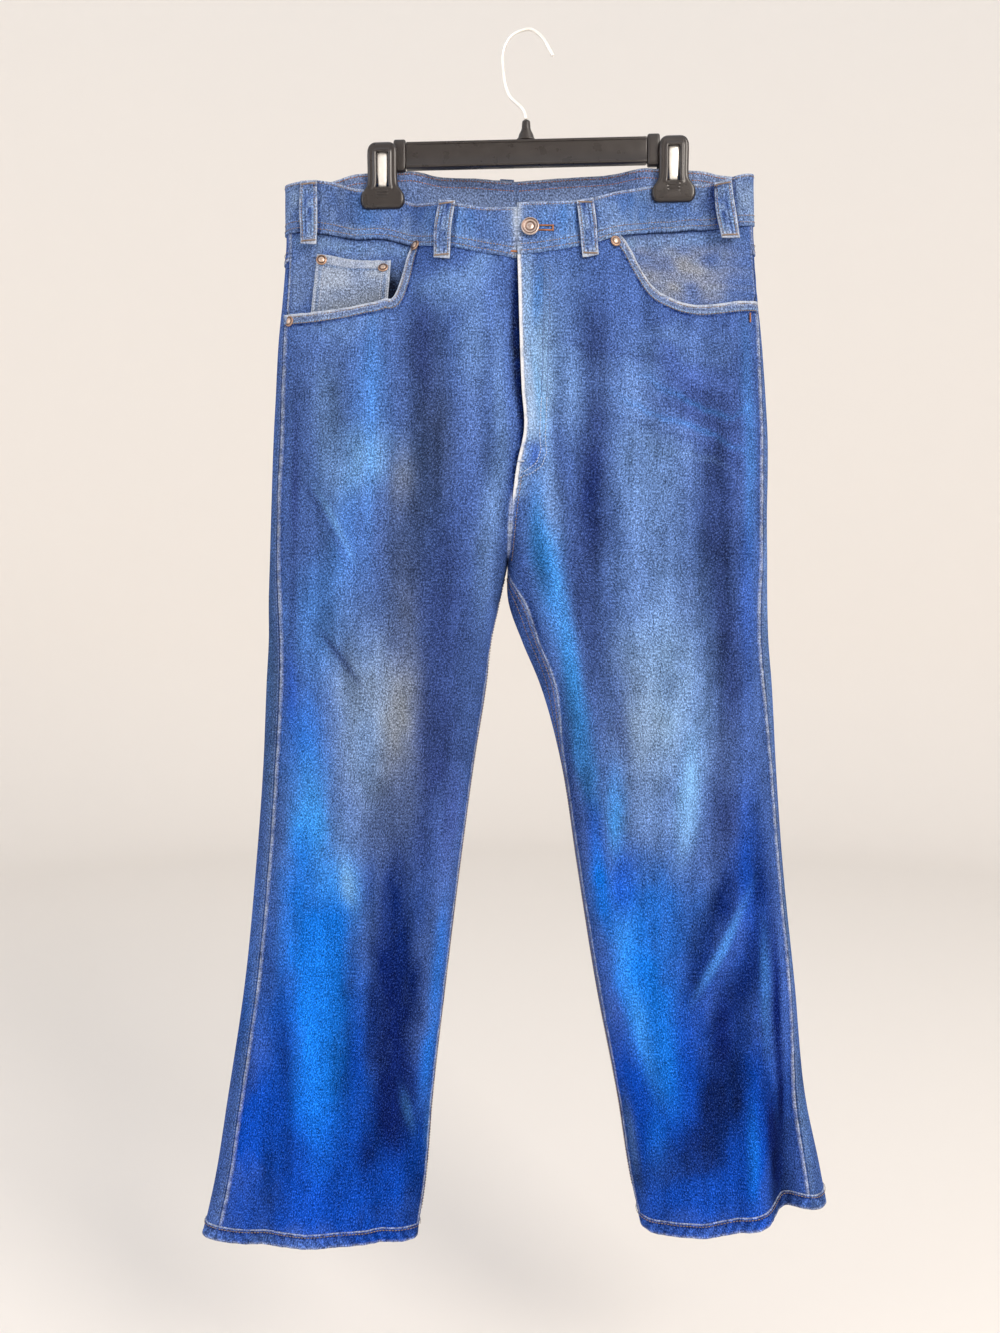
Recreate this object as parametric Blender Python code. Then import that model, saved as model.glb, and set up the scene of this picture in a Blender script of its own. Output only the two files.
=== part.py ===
"""Bootcut jeans hanging from a clip hanger, one solid for each piece that is cut, sewn or moulded.

The part faces -Y, with +Z up. Its origin is the underside of the hanger hook's crown, where a rail
carries it. Every length below is in millimetres, and a mesh is turned to metres when it is made.
"Right" and "left" are the wearer's, so the right leg is at -X.
"""

import math

import bmesh
import bpy
import numpy as np

MM = 0.001

# Cloth
DENIM = 1.5  # wall of a panel
SEAM_GAP = 0.36  # space left between two pieces where they are sewn together
LAY_GAP = 0.5  # space left under a piece that lies on another
BAND_WALL = 2.8
BAND_PROUD = 1.0  # the band's face stands this far out from the panels' face
HEM_HEIGHT = 13.5
HEM_WALL = 2.4
HEM_PROUD = 0.5
CROTCH_Z = -503.0
FRONT_HOOK = 62.0  # the front rise turns under over this height
BACK_HOOK = 120.0  # and the back rise over this one
HOOK_POWER = 0.62

# Clips
CLIP_TILT = 0.024  # the hanger hangs this much out of level, as a slope
CLIP_X = {"right": -139.5, "left": 135.5}
CLIP_FOOT_Z = {"right": -171.0, "left": -164.5}
CLIP_GRIP_HALF = 22.5  # half the width over which the band is pressed flat
CLIP_FADE_X = 24.0
CLIP_FADE_Z = 72.0
CLIP_CLOTH_HALF = 2.1  # from the middle plane to the cloth's face where it is gripped

# One row for each level of the trousers. outer and inner are the outline's x, and inner is the
# centre line above the crotch. front and back are how far the two faces stand from the middle
# plane, side and thigh are the depth of the outer and inner edge. roll and in_roll say how far
# the side seam and the inseam have turned to the front, and square how flat the faces are.
SECTION_COLUMNS = (
    "z", "outer", "inner", "front", "back", "side", "thigh", "roll", "in_roll", "square",
)
RIGHT_SECTIONS = (
    (-100, -230, -13, -36, 21, 0, 0, 0.15, 0.00, 2.5),
    (-165, -231, -13, -38, 22, 0, 0, 0.15, 0.00, 2.5),
    (-212, -231, -13, -42, 26, 0, 0, 0.16, 0.00, 2.5),
    (-255, -234, -12, -45, 32, 0, 0, 0.18, 0.00, 2.5),
    (-294, -238, -11, -47, 38, 0, 0, 0.19, 0.00, 2.4),
    (-351, -241, -9, -49, 46, 0, 0, 0.20, 0.00, 2.4),
    (-391, -243, -7, -50, 50, 0, 0, 0.21, 0.00, 2.4),
    (-420, -244, -13, -50, 52, 0, 0, 0.21, 0.00, 2.4),
    (-460, -245, -18, -51, 53, 0, 0, 0.21, 0.00, 2.4),
    (-503, -246, -21, -51, 52, 0, 0, 0.20, 0.00, 2.4),
    (-541, -247, -29, -50, 50, 0, 0, 0.20, 0.00, 2.4),
    (-579, -247, -37, -49, 48, 0, 0, 0.20, 0.03, 2.4),
    (-617, -249, -41, -47, 46, 0, 0, 0.21, 0.05, 2.4),
    (-693, -252, -53, -42, 40, 0, 0, 0.21, 0.05, 2.5),
    (-788, -259, -66, -36, 34, 0, 0, 0.21, 0.05, 2.5),
    (-902, -270, -80, -31, 30, 0, 0, 0.21, 0.05, 2.6),
    (-1016, -287, -93, -28, 27, 0, 0, 0.21, 0.05, 2.6),
    (-1080, -297, -98, -27, 26, 0, 0, 0.21, 0.05, 2.6),
    (-1150, -312, -108, -26, 25, 0, 0, 0.20, 0.05, 2.6),
)
LEFT_SECTIONS = (
    (-100, 210, -13, -36, 21, 0, 0, 0.15, 0.00, 2.5),
    (-165, 211, -13, -38, 22, 0, 0, 0.15, 0.00, 2.5),
    (-212, 212, -13, -42, 26, 0, 0, 0.13, 0.00, 2.5),
    (-255, 215, -12, -45, 32, 0, 0, 0.13, 0.00, 2.5),
    (-294, 219, -11, -47, 38, 0, 0, 0.15, 0.00, 2.4),
    (-351, 223, -9, -49, 46, 0, 0, 0.18, 0.00, 2.4),
    (-391, 225, -7, -50, 50, 0, 0, 0.19, 0.00, 2.4),
    (-420, 225, -13, -50, 52, 0, 0, 0.19, 0.00, 2.4),
    (-460, 224, -18, -51, 53, 0, 0, 0.18, 0.00, 2.4),
    (-503, 224, -21, -51, 52, 0, 0, 0.17, 0.00, 2.4),
    (-541, 224, -21, -50, 50, 0, 0, 0.17, 0.15, 2.4),
    (-579, 225, -8, -49, 48, 0, 0, 0.17, 0.17, 2.4),
    (-617, 228, 8, -47, 46, 0, 0, 0.17, 0.17, 2.4),
    (-693, 232, 29, -43, 41, 1, 0, 0.15, 0.08, 2.5),
    (-788, 239, 44, -37, 35, 2, 0, 0.14, 0.07, 2.5),
    (-902, 251, 62, -32, 31, 4, 0, 0.15, 0.08, 2.5),
    (-1016, 263, 84, -30, 31, 8, 0, 0.20, 0.06, 2.5),
    (-1080, 277, 94, -29, 33, 12, 0, 0.23, 0.05, 2.5),
    (-1150, 290, 109, -29, 34, 16, 0, 0.26, 0.05, 2.5),
)

# The band's top edge and its height, from the centre front (t = -1) by the side (0) to the
# centre back (1). It sags at the front, and stands lower where it leans.
BAND_COLUMNS_OF = ("t", "top", "height")
BAND_ROWS_OF = {
    "right": (
        (-1, -185.5, 46.5), (-0.94, -185, 42), (-0.885, -180.5, 42), (-0.83, -176, 42.5),
        (-0.75, -165.5, 42), (-0.66, -155, 45), (-0.587, -152.2, 48), (-0.39, -153, 49),
        (-0.28, -152.5, 47), (0, -150, 47), (0.38, -140, 46), (0.6, -135, 46), (0.8, -132, 46),
        (0.93, -131, 46), (1, -134, 46),
    ),
    "left": (
        (-1, -181, 48.5), (-0.96, -180, 47), (-0.89, -178, 43.5), (-0.85, -175, 43),
        (-0.784, -166, 43), (-0.68, -150, 45), (-0.6, -147.5, 46), (-0.5, -147, 44),
        (-0.41, -149, 44), (-0.33, -148.5, 45.5), (-0.17, -143, 48.5), (0, -139, 48),
        (0.3, -134, 46), (0.55, -132, 46), (0.8, -129, 46), (0.93, -131, 46), (1, -134, 46),
    ),
}
# The hem's lower edge, along t in the same way. A trouser leg is closed, so its ends agree.
HEM_Z = {
    "right": ((-1, -1142), (-0.5, -1140), (0, -1139), (0.5, -1140), (1, -1142)),
    "left": ((-1, -1130), (-0.75, -1133), (-0.55, -1129), (-0.42, -1119), (-0.33, -1110),
             (-0.2, -1112), (0, -1112), (0.3, -1117), (0.6, -1126), (1, -1130)),
}

# Folds of the hanging cloth. Each runs from (x0, z0) to (x1, z1) on the front or back face, is
# width wide to each side, and stands height out, or sinks in where height is negative. Its ends
# die out, but one that grows keeps its full height at the lower end.
# Columns: x0, z0, x1, z1, width, height, and 1 where the fold keeps growing to its lower end.
FOLDS = {
    ("right", "front"): (
        (-146, -300, -150, -560, 13, 4.5, 0),
        (-88, -250, -104, -620, 20, -5.0, 0),
        (-226, -395, -184, -475, 12, -4.5, 0),
        (-210, -520, -162, -620, 15, -5.0, 0),
        (-128, -560, -120, -800, 26, 4.0, 0),
        (-196, -800, -206, -1150, 20, 5.0, 1),
        (-146, -880, -142, -1145, 15, -6.0, 1),
        (-238, -860, -232, -1040, 14, -4.0, 0),
    ),
    ("left", "front"): (
        (8, -400, 30, -720, 15, 5.0, 0),
        (30, -720, 96, -860, 15, 4.5, 0),
        (54, -260, 66, -600, 20, -5.0, 0),
        (172, -330, 164, -700, 20, -6.0, 0),
        (210, -350, 176, -500, 12, 5.0, 0),
        (150, -610, 128, -800, 18, 5.0, 0),
        (66, -800, 146, -1080, 18, 5.0, 0),
        (190, -780, 158, -930, 15, 5.0, 0),
        (205, -830, 178, -1060, 20, -6.0, 0),
        (237, -960, 238, -1160, 13, -21.0, 1),
        (206, -1020, 210, -1160, 15, 5.0, 1),
    ),
    ("right", "back"): (
        (-60, -470, -150, -540, 22, -6.0, 0),
        (-140, -560, -150, -800, 24, 5.0, 0),
        (-100, -640, -170, -760, 18, -5.0, 0),
        (-200, -760, -230, -1150, 22, 5.0, 1),
        (-150, -840, -160, -1150, 18, -5.0, 1),
    ),
    ("left", "back"): (
        (24, -470, 130, -550, 22, -6.0, 0),
        (110, -560, 120, -800, 24, 5.0, 0),
        (70, -650, 160, -770, 18, -5.0, 0),
        (180, -760, 222, -1150, 22, 5.0, 1),
        (140, -850, 158, -1150, 18, -5.0, 1),
    ),
}
FLY_TOP_Z = -232.0
FLY_END_Z = -420.0
FLY_DIP = 3.0  # the right front sinks this far beside the zip
FLY_DIP_WIDTH = 10.0

# The pocket mouth as (share of the front's width from the side seam, z). It ends at the seam of
# the band, at the share given by MOUTH_END.
MOUTH = {
    "right": (
        (0.0, -276), (0.14, -277.5), (0.25, -275.5), (0.35, -271.5), (0.43, -267), (0.468, -260),
        (0.486, -245), (0.502, -228), (0.53, -211),
    ),
    "left": (
        (0.0, -262), (0.1, -265.5), (0.2, -270), (0.29, -272), (0.385, -266.5), (0.446, -257),
        (0.49, -240), (0.545, -219), (0.585, -209),
    ),
}
MOUTH_END = {"right": 0.555, "left": 0.61}

# Panels: the run of columns and rows each is made from, and its mean width
FRONT_WIDTH = 245.0
BACK_WIDTH = 270.0
BAND_LENGTH = 470.0
HEM_WIDTH = 220.0
SEAM_LEVEL = -215.0  # where the columns of the waist are counted
HEM_LEVEL = -1130.0  # and those of the hem
PLAIN_LEVEL = -325.0  # below it the rows of front and back agree, so that their seams do
FRONT_ROWS_TOP = 5
BACK_ROWS_TOP = 4
ROWS_TO_CROTCH = 7
ROWS_BELOW_CROTCH = 18
COLUMNS_OVER_POCKET = 7
COLUMNS_BY_FLY = 8
MOUTH_CORNER_ROW = 3  # the mouth's columns come closer from this row of its table
BACK_COLUMNS = 13
YOKE_ROWS = 3
BAND_ROWS = 3
BAND_COLUMNS = 44
HEM_ROWS = 2
HEM_COLUMNS = 13
YOKE_DROP_AT_SIDE = 26.0
YOKE_DROP_AT_CENTRE = 62.0

# The facing behind each pocket's mouth. Depths are down from the cloth's face.
FACING_DROP = 34.0  # it reaches this far below the mouth
FACING_BEYOND_MOUTH = 0.12  # and this share of the front past the mouth's end
FACING_EDGE = 0.004
FACING_EDGE_DEPTH = 2.2
FACING_DEPTH = 4.8
FACING_SINK_SHARE = 0.07
FACING_SINK_HEIGHT = 0.12
FACING_TOP_GAP = 0.5
FACING_COLUMNS = 11
FACING_ROWS = 6

# The small pocket, as (share, z) of its left and right corners
COIN_TOP = ((0.135, -221.5), (0.445, -223.5))
COIN_FOOT = ((0.122, -288.0), (0.452, -286.0))
COIN_FACE = -2.0
COIN_WALL = 1.2
COIN_COLUMNS = 6
COIN_ROWS = 5

# The back's patch pockets
PATCH_WALL = 1.3
POCKET_GAP = 0.9  # the panel below is made of flat faces, which this has to clear
POCKET_TOP_WIDTH = 158.0
POCKET_FOOT_WIDTH = 132.0
POCKET_SIDE = 132.0
POCKET_POINT = 24.0
POCKET_SLANT = -10.0
POCKET_MIDDLE = 0.50
POCKET_Z = -262.0
POCKET_ROWS = 7
POCKET_COLUMNS = 9

# Behind the fly
FLY_INSET = 1.4
ZIP_WIDTH = 14.0
ZIP_TOP_GAP = 4.0
ZIP_END_Z = -402.0
ZIP_DEPTH = 2.0
ZIP_WALL = 1.5
SHIELD_WIDTH = 46.0
SHIELD_END_Z = -424.0
SHIELD_DEPTH = 4.0
FLY_ROWS = 8

# Belt loops: the half each is on, the panel below, and the share of its width at top and foot
LOOP_WIDTH = 15.5
LOOP_WALL = 1.6
LOOP_BOW = 2.2
LOOP_OVER = 3.0
LOOP_UNDER = 12.0
LOOP_ROWS = 7
LOOPS = {
    "front_right": ("right", "front", 0.731, 0.692),
    "side_right": ("right", "front", 0.098, 0.102),
    "front_left": ("left", "front", 0.740, 0.712),
    "side_left": ("left", "front", 0.114, 0.104),
    "centre_back": ("right", "back", 0.965, 0.965),
}

# Metal: the half, x, z, and how far the cloth below stands from the panel's face
RIVETS = {
    "mouth_right": ("right", -106.7, -211.5, BAND_PROUD + 0.3),
    "mouth_left": ("left", 76.5, -215.5, BAND_PROUD),
    "coin_outer": ("right", -193.7, -227.0, COIN_FACE),
    "coin_inner": ("right", -137.5, -231.5, COIN_FACE),
    "mouth_foot": ("right", -224.3, -282.5, 0.0),
}
RIVET_PROFILE = ((4.9, 0.0), (4.9, 0.5), (3.9, 1.2), (2.0, 1.5))
RIVET_SEGMENTS = 12
BUTTON_AT = ("left", -1.2, -205.0)
BUTTON_PROFILE = ((4.0, 0.0), (4.0, 1.6), (7.9, 2.0), (8.4, 2.9), (7.7, 4.0), (6.2, 4.2), (5.4, 3.8),
                  (2.0, 3.9))
BUTTON_SEGMENTS = 24

# The hanger
HOOK_RADIUS = 1.6
HOOK_STEPS = 3
HOOK_SEGMENTS = 10
HOOK_PATH = (
    (-3.8, -84.5), (-5.5, -77.5), (-20.3, -60.5), (-23.4, -52.0), (-25.8, -35.5), (-26.5, -24.5),
    (-24.1, -14.3), (-17.8, -4.6), (-7.5, 0.6), (0.0, 1.6), (3.8, 0.0), (12.0, -6.6), (17.0, -15.0),
    (22.0, -24.2),
)
BAR_X = (-117.6, 111.0)
BAR_MIDDLE_X = -3.7
BAR_MIDDLE_Z = -116.5
BAR_HEIGHT = 24.5
BAR_HALF_DEPTH = 4.0
BAR_WEB = 3.0
BAR_FLANGE = 2.6
BAR_STEPS = 5
BAR_END_FACES = ((0, 1, 2, 3), (0, 3, 4, 7), (4, 5, 6, 7))
BAR_ENDS = {
    "right": ((-133.0, -3.0, -129.0), (-118.0, 3.0, -104.0)),
    "left": ((111.4, -3.0, -129.0), (127.5, 3.0, -104.0)),
}
NECK_X = -3.7
NECK_SEGMENTS = 16
NECK_PROFILE = ((-103.8, 7.6, 4.0), (-100.0, 7.0, 3.8), (-94.0, 4.6, 3.6), (-85.3, 4.0, 3.4))
CLIP_HEIGHT = 63.0
# One row a level of a jaw: the way down from its top, half its width, the inner face's distance
# from the middle plane, and the wall.
JAW_ROWS = (
    (0.0, 11.5, 8.2, 2.2),
    (3.0, 13.6, 7.9, 2.6),
    (11.4, 13.8, 7.2, 2.8),
    (28.0, 13.8, 5.8, 2.8),
    (43.5, 13.8, 4.5, 2.8),
    (47.0, 17.5, 4.15, 3.4),
    (49.5, 19.8, 3.9, 3.8),
    (55.0, 20.5, 3.8, 3.9),
    (60.0, 19.9, 3.8, 3.6),
    (62.2, 18.0, 3.8, 2.8),
    (63.0, 15.0, 3.8, 2.2),
)
JAW_COLUMNS = (-1.0, -0.85, -0.62, 0.20, 0.62, 0.85, 1.0)
JAW_ROUND = 0.25
JAW_SLOT_ROWS = (2, 4)
JAW_SLOT_COLUMN = 2
SPRING_WIDTH = 8.5
SPRING_OFF = -2.9
SPRING_WALL = 0.9
SPRING_PATH = (
    (-3.6, 42.0), (-5.2, 28.0), (-6.5, 14.0), (-5.4, 5.0), (0.0, 1.0), (5.4, 5.0), (6.5, 14.0),
    (5.2, 28.0), (3.6, 42.0),
)
SHARP_EDGE = math.radians(40)


def table(rows, columns, name, at):
    """One column of a table at any level, by a smooth curve through its rows."""
    rows = np.array(rows, float)
    rows = rows[np.argsort(rows[:, 0])]
    place = rows[:, 0]
    value = rows[:, columns.index(name)]
    slope = np.gradient(value, place)
    at = np.clip(np.asarray(at, float), place[0], place[-1])
    i = np.clip(np.searchsorted(place, at) - 1, 0, len(place) - 2)
    step = place[i + 1] - place[i]
    u = (at - place[i]) / step
    return (
        value[i] * (1 + 2 * u) * (1 - u) ** 2
        + value[i + 1] * (3 - 2 * u) * u**2
        + slope[i] * step * u * (1 - u) ** 2
        - slope[i + 1] * step * u**2 * (1 - u)
    )


def section(side, name, z):
    rows = RIGHT_SECTIONS if side == "right" else LEFT_SECTIONS
    return table(rows, SECTION_COLUMNS, name, z)


def smooth(share):
    share = np.clip(share, 0, 1)
    return share * share * (3 - 2 * share)


def power(value, exponent):
    return np.sign(value) * np.abs(value) ** exponent


def closing(z, hook):
    """0 where the two halves meet flat at the centre line, 1 from the crotch down."""
    above = np.clip((np.asarray(z, float) - CROTCH_Z) / hook, 0, 1)
    return 1 - above**HOOK_POWER


def fold_height(side, face, x, z):
    """How far the folds move the cloth out at (x, z): a bell across each fold's line."""
    total = np.zeros(np.broadcast(x, z).shape)
    for x0, z0, x1, z1, width, height, grows in FOLDS[side, face]:
        along_x = x1 - x0
        along_z = z1 - z0
        length2 = along_x**2 + along_z**2
        share = ((x - x0) * along_x + (z - z0) * along_z) / length2
        held = np.clip(share, 0, 1)
        off2 = (x - x0 - held * along_x) ** 2 + (z - z0 - held * along_z) ** 2
        fade = np.sin(np.pi / 2 * held) if grows else np.sin(np.pi * held)
        total = total + height * fade * np.exp(-off2 / width**2)
    return total


def clip_grip(side, x, z):
    """1 where the clip presses the band flat, fading out round it and below it."""
    beside = np.maximum(np.abs(x - CLIP_X[side]) - CLIP_GRIP_HALF, 0) / CLIP_FADE_X
    below = np.maximum(CLIP_FOOT_Z[side] - z, 0) / CLIP_FADE_Z
    return np.exp(-(beside**2) - below**2)


def cloth(side, t, z):
    """The outer face of the cloth. t runs round one half: -1 at the front's inner edge, 0 at the
    side, 1 at the back's inner edge, and on past the inseam to the front where it is over 1.

    Each level is half a superellipse for the front and one for the back. Above the crotch they
    stop at the centre line, and from the crotch down they close into a leg.
    """
    t, z = np.broadcast_arrays(np.asarray(t, float), np.asarray(z, float))
    t = np.where(t > 1, t - 2, t)
    front = t < 0
    close = np.where(front, closing(z, FRONT_HOOK), closing(z, BACK_HOOK))
    end = np.pi / 2 * (1 + close)
    angle = np.abs(t) * end
    flat = 2 / section(side, "square", z)
    outer = section(side, "outer", z)
    inner = section(side, "inner", z)
    across = (1 - power(np.cos(angle), flat)) / (1 - power(np.cos(end), flat))
    x = outer + (inner - outer) * across
    seam = SEAM_GAP / 2 * across * close
    x = x + np.where(side == "right", -seam, seam)
    middle = section(side, "side", z) * (1 - across) + section(side, "thigh", z) * across
    face = np.where(front, section(side, "front", z), section(side, "back", z))
    rise = np.abs(np.sin(angle)) ** flat
    depth = (face - middle) * rise
    grip = clip_grip(side, x, z)
    depth = depth * (1 - grip) + np.where(front, -1, 1) * CLIP_CLOTH_HALF * grip
    folds = np.where(front, -fold_height(side, "front", x, z), fold_height(side, "back", x, z))
    depth = depth + folds * np.minimum(rise * 1.4, 1)
    if side == "right":
        in_fly = smooth((FLY_TOP_Z + 20 - z) / 20) * smooth((z - FLY_END_Z + 25) / 25)
        dip = FLY_DIP * np.exp(-(((x - inner) / FLY_DIP_WIDTH) ** 2)) * in_fly
        depth = depth + np.where(front, dip, 0)
    return np.stack([x, middle + depth, z], axis=-1)


def cloth_normal(side, t, z, step_t=2e-3, step_z=0.5):
    """The direction out of the cloth, from the slopes of its two runs."""
    t, z = np.broadcast_arrays(np.asarray(t, float), np.asarray(z, float))
    most = np.where(z > CROTCH_Z, 1 - step_t, 2)
    t = np.clip(t, -1 + step_t, most)
    along_t = cloth(side, t + step_t, z) - cloth(side, t - step_t, z)
    along_z = cloth(side, t, z + step_z) - cloth(side, t, z - step_z)
    normal = np.cross(along_t, along_z)
    if side == "right":
        normal = -normal
    return normal / np.linalg.norm(normal, axis=-1, keepdims=True)


def raised(side, t, z, out):
    """A point moved out from the cloth's face."""
    return cloth(side, t, z) + cloth_normal(side, t, z) * np.asarray(out)[..., None]


def edge(rows, t):
    """A rim's height at t, from its short table."""
    return table(rows, ("t", "z"), "z", np.where(np.asarray(t) > 1, t - 2, t))


def band_top(side, t):
    return table(BAND_ROWS_OF[side], BAND_COLUMNS_OF, "top", t)


def waist_seam(side, t):
    return band_top(side, t) - table(BAND_ROWS_OF[side], BAND_COLUMNS_OF, "height", t)


def hem_seam(side, t):
    return edge(HEM_Z[side], t) + HEM_HEIGHT


def runs(side, part, z):
    """Where a part begins and ends round the half, as t: a front or back panel between the side
    seam and the inseam or centre line, or the band all the way."""
    roll = section(side, "roll", z)
    in_roll = np.maximum(section(side, "in_roll", z), 0) * (z < CROTCH_Z)
    if part == "front":
        return -roll, -1 + in_roll
    if part == "back":
        return -roll, 1 + in_roll
    return -np.ones_like(z), np.ones_like(z)


LEVELS = np.linspace(-1155, -95, 160)
STEPS = np.linspace(0, 1, 161)
LAID_OUT = {}


def t_at(side, part, share, z):
    """t at a share of a part's own length at height z, so that columns are evenly spaced cloth."""
    if (side, part) not in LAID_OUT:
        start, stop = runs(side, part, LEVELS)
        run = start[:, None] + (stop - start)[:, None] * STEPS
        lengths = np.linalg.norm(np.diff(cloth(side, run, LEVELS[:, None]), axis=1), axis=-1)
        along = np.concatenate([np.zeros((len(LEVELS), 1)), np.cumsum(lengths, axis=1)], axis=1)
        LAID_OUT[side, part] = np.array(
            [np.interp(STEPS * a[-1], a, r) for a, r in zip(along, run)]
        )
    grid = LAID_OUT[side, part]
    share, z = np.broadcast_arrays(np.asarray(share, float), np.asarray(z, float))
    row = np.clip((z - LEVELS[0]) / (LEVELS[1] - LEVELS[0]), 0, len(LEVELS) - 1.001)
    column = np.clip(share, 0, 1) * (len(STEPS) - 1.001)
    i, j = row.astype(int), column.astype(int)
    v, u = row - i, column - j
    return (
        grid[i, j] * (1 - u) * (1 - v)
        + grid[i, j + 1] * u * (1 - v)
        + grid[i + 1, j] * (1 - u) * v
        + grid[i + 1, j + 1] * u * v
    )


def t_at_x(side, x, z):
    """t of the front's point that lies at x."""
    front = np.linspace(-1, -0.02, 400)
    across = cloth(side, front, z)[:, 0]
    order = np.argsort(across)
    return np.interp(x, across[order], front[order])


def material(name, colour, roughness, metallic=0.0):
    made = bpy.data.materials.new(name)
    made.use_nodes = True
    shader = made.node_tree.nodes["Principled BSDF"]
    shader.inputs["Base Color"].default_value = (*colour, 1)
    shader.inputs["Roughness"].default_value = roughness
    shader.inputs["Metallic"].default_value = metallic
    return made


def add_object(name, points, faces, finish):
    """A closed mesh from points in millimetres. Its faces are turned out if they point in."""
    mesh = bpy.data.meshes.new(name)
    mesh.from_pydata((np.asarray(points) * MM).tolist(), [], faces)
    work = bmesh.new()
    work.from_mesh(mesh)
    if work.calc_volume(signed=True) < 0:
        bmesh.ops.reverse_faces(work, faces=work.faces)
    work.to_mesh(mesh)
    work.free()
    mesh.shade_smooth()
    mesh.set_sharp_from_angle(angle=SHARP_EDGE)
    mesh.materials.append(finish)
    made = bpy.data.objects.new(name, mesh)
    bpy.context.scene.collection.objects.link(made)
    return made


def slab_faces(present, closed=False):
    """Faces of a sheet with a thickness: those of its outer grid, those of its inner grid, and
    the rim round every cell that has no neighbour. A closed sheet's last column joins its first."""
    rows, columns = present.shape
    width = columns if closed else columns + 1
    count = (rows + 1) * width
    faces = []

    def corner(row, column, layer):
        return layer * count + row * width + column % width

    def filled(row, column):
        if closed:
            column %= columns
        return 0 <= row < rows and 0 <= column < columns and present[row, column]

    for row, column in zip(*np.nonzero(present)):
        quad = [(row, column), (row, column + 1), (row + 1, column + 1), (row + 1, column)]
        faces.append([corner(*q, 0) for q in quad])
        faces.append([corner(*q, 1) for q in reversed(quad)])
        beyond = [(row - 1, column), (row, column + 1), (row + 1, column), (row, column - 1)]
        for i, cell in enumerate(beyond):
            if not filled(*cell):
                a, b = quad[i], quad[(i + 1) % 4]
                faces.append([corner(*b, 0), corner(*a, 0), corner(*a, 1), corner(*b, 1)])
    return faces


def add_slab(name, outer, inner, finish, closed=False, present=None):
    """A closed wall between two grids of points."""
    rows, columns = outer.shape[:2]
    if present is None:
        present = np.ones((rows - 1, columns if closed else columns - 1), bool)
    faces = slab_faces(present, closed)
    used = np.unique(np.concatenate([np.array(face) for face in faces]))
    renumber = np.full(2 * rows * columns, -1)
    renumber[used] = np.arange(len(used))
    points = np.concatenate([outer.reshape(-1, 3), inner.reshape(-1, 3)])[used]
    return add_object(name, points, [renumber[face].tolist() for face in faces], finish)


def cloth_wall(name, side, t, z, face, wall, finish):
    """A wall between the cloth's face moved out by face, and that less the wall."""
    face = np.broadcast_to(face, t.shape)
    return add_slab(name, raised(side, t, z, face), raised(side, t, z, face - wall), finish)


def inset_shares(count, width):
    """Even shares from 0 to 1 that stop half a seam gap short of both edges."""
    pad = SEAM_GAP / 2 / width
    return np.linspace(pad, 1 - pad, count)[None, :]


def rows_between(top, bottom, count):
    return top + (bottom - top) * np.linspace(0, 1, count)[:, None]


def front_shares(side):
    """Shares across the front, even but for the closer ones that follow the pocket's mouth."""
    mouth = [share for share, _ in MOUTH[side]][MOUTH_CORNER_ROW:] + [MOUTH_END[side]]
    before = np.linspace(0, mouth[0], COLUMNS_OVER_POCKET)[:-1]
    after = np.linspace(mouth[-1], 1, COLUMNS_BY_FLY)[1:]
    pad = SEAM_GAP / 2 / FRONT_WIDTH
    return np.clip(np.concatenate([before, mouth, after]), pad, 1 - pad)[None, :]


def mouth_edge(side, shares):
    return table(MOUTH[side], ("share", "z"), "z", shares)


def panel_rows(top, bottom, rows_top):
    """Levels from a panel's top by the crotch to its bottom, for each column."""
    plain = np.full_like(top, PLAIN_LEVEL)
    crotch = np.full_like(top, CROTCH_Z)
    return np.concatenate([
        rows_between(top, plain, rows_top),
        rows_between(plain, crotch, ROWS_TO_CROTCH)[1:],
        rows_between(crotch, bottom, ROWS_BELOW_CROTCH)[1:],
    ])


def panel_bottom(side, part, shares):
    t = t_at(side, part, shares, np.full(shares.shape, HEM_LEVEL))
    return hem_seam(side, t) + 2 * SEAM_GAP


def panel_top(side, part, shares):
    t = t_at(side, part, shares, np.full(shares.shape, SEAM_LEVEL))
    return waist_seam(side, t) - 2 * SEAM_GAP


def front_panel(side, finish):
    """From the pocket's mouth, and from the band's seam beside it, down to the hem's seam."""
    shares = front_shares(side)
    beside = shares > MOUTH_END[side] - 1e-6
    top = np.where(beside, panel_top(side, "front", shares), mouth_edge(side, shares))
    bottom = panel_bottom(side, "front", shares)
    z = panel_rows(top, bottom, FRONT_ROWS_TOP)
    t = t_at(side, "front", shares, z)
    cloth_wall(f"front_{side}", side, t, z, 0.0, DENIM, finish)


def yoke_seam(side, shares):
    """The yoke's lower edge, which falls from the side seam to the centre back."""
    drop = YOKE_DROP_AT_SIDE + (YOKE_DROP_AT_CENTRE - YOKE_DROP_AT_SIDE) * shares
    return panel_top(side, "back", shares) - drop


def back_panel(side, finish):
    shares = inset_shares(BACK_COLUMNS, BACK_WIDTH)
    top = yoke_seam(side, shares) - SEAM_GAP
    bottom = panel_bottom(side, "back", shares)
    z = panel_rows(top, bottom, BACK_ROWS_TOP)
    cloth_wall(f"back_{side}", side, t_at(side, "back", shares, z), z, 0.0, DENIM, finish)


def yoke(side, finish):
    shares = inset_shares(BACK_COLUMNS, BACK_WIDTH)
    z = rows_between(panel_top(side, "back", shares), yoke_seam(side, shares), YOKE_ROWS)
    cloth_wall(f"yoke_{side}", side, t_at(side, "back", shares, z), z, 0.0, DENIM, finish)


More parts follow.
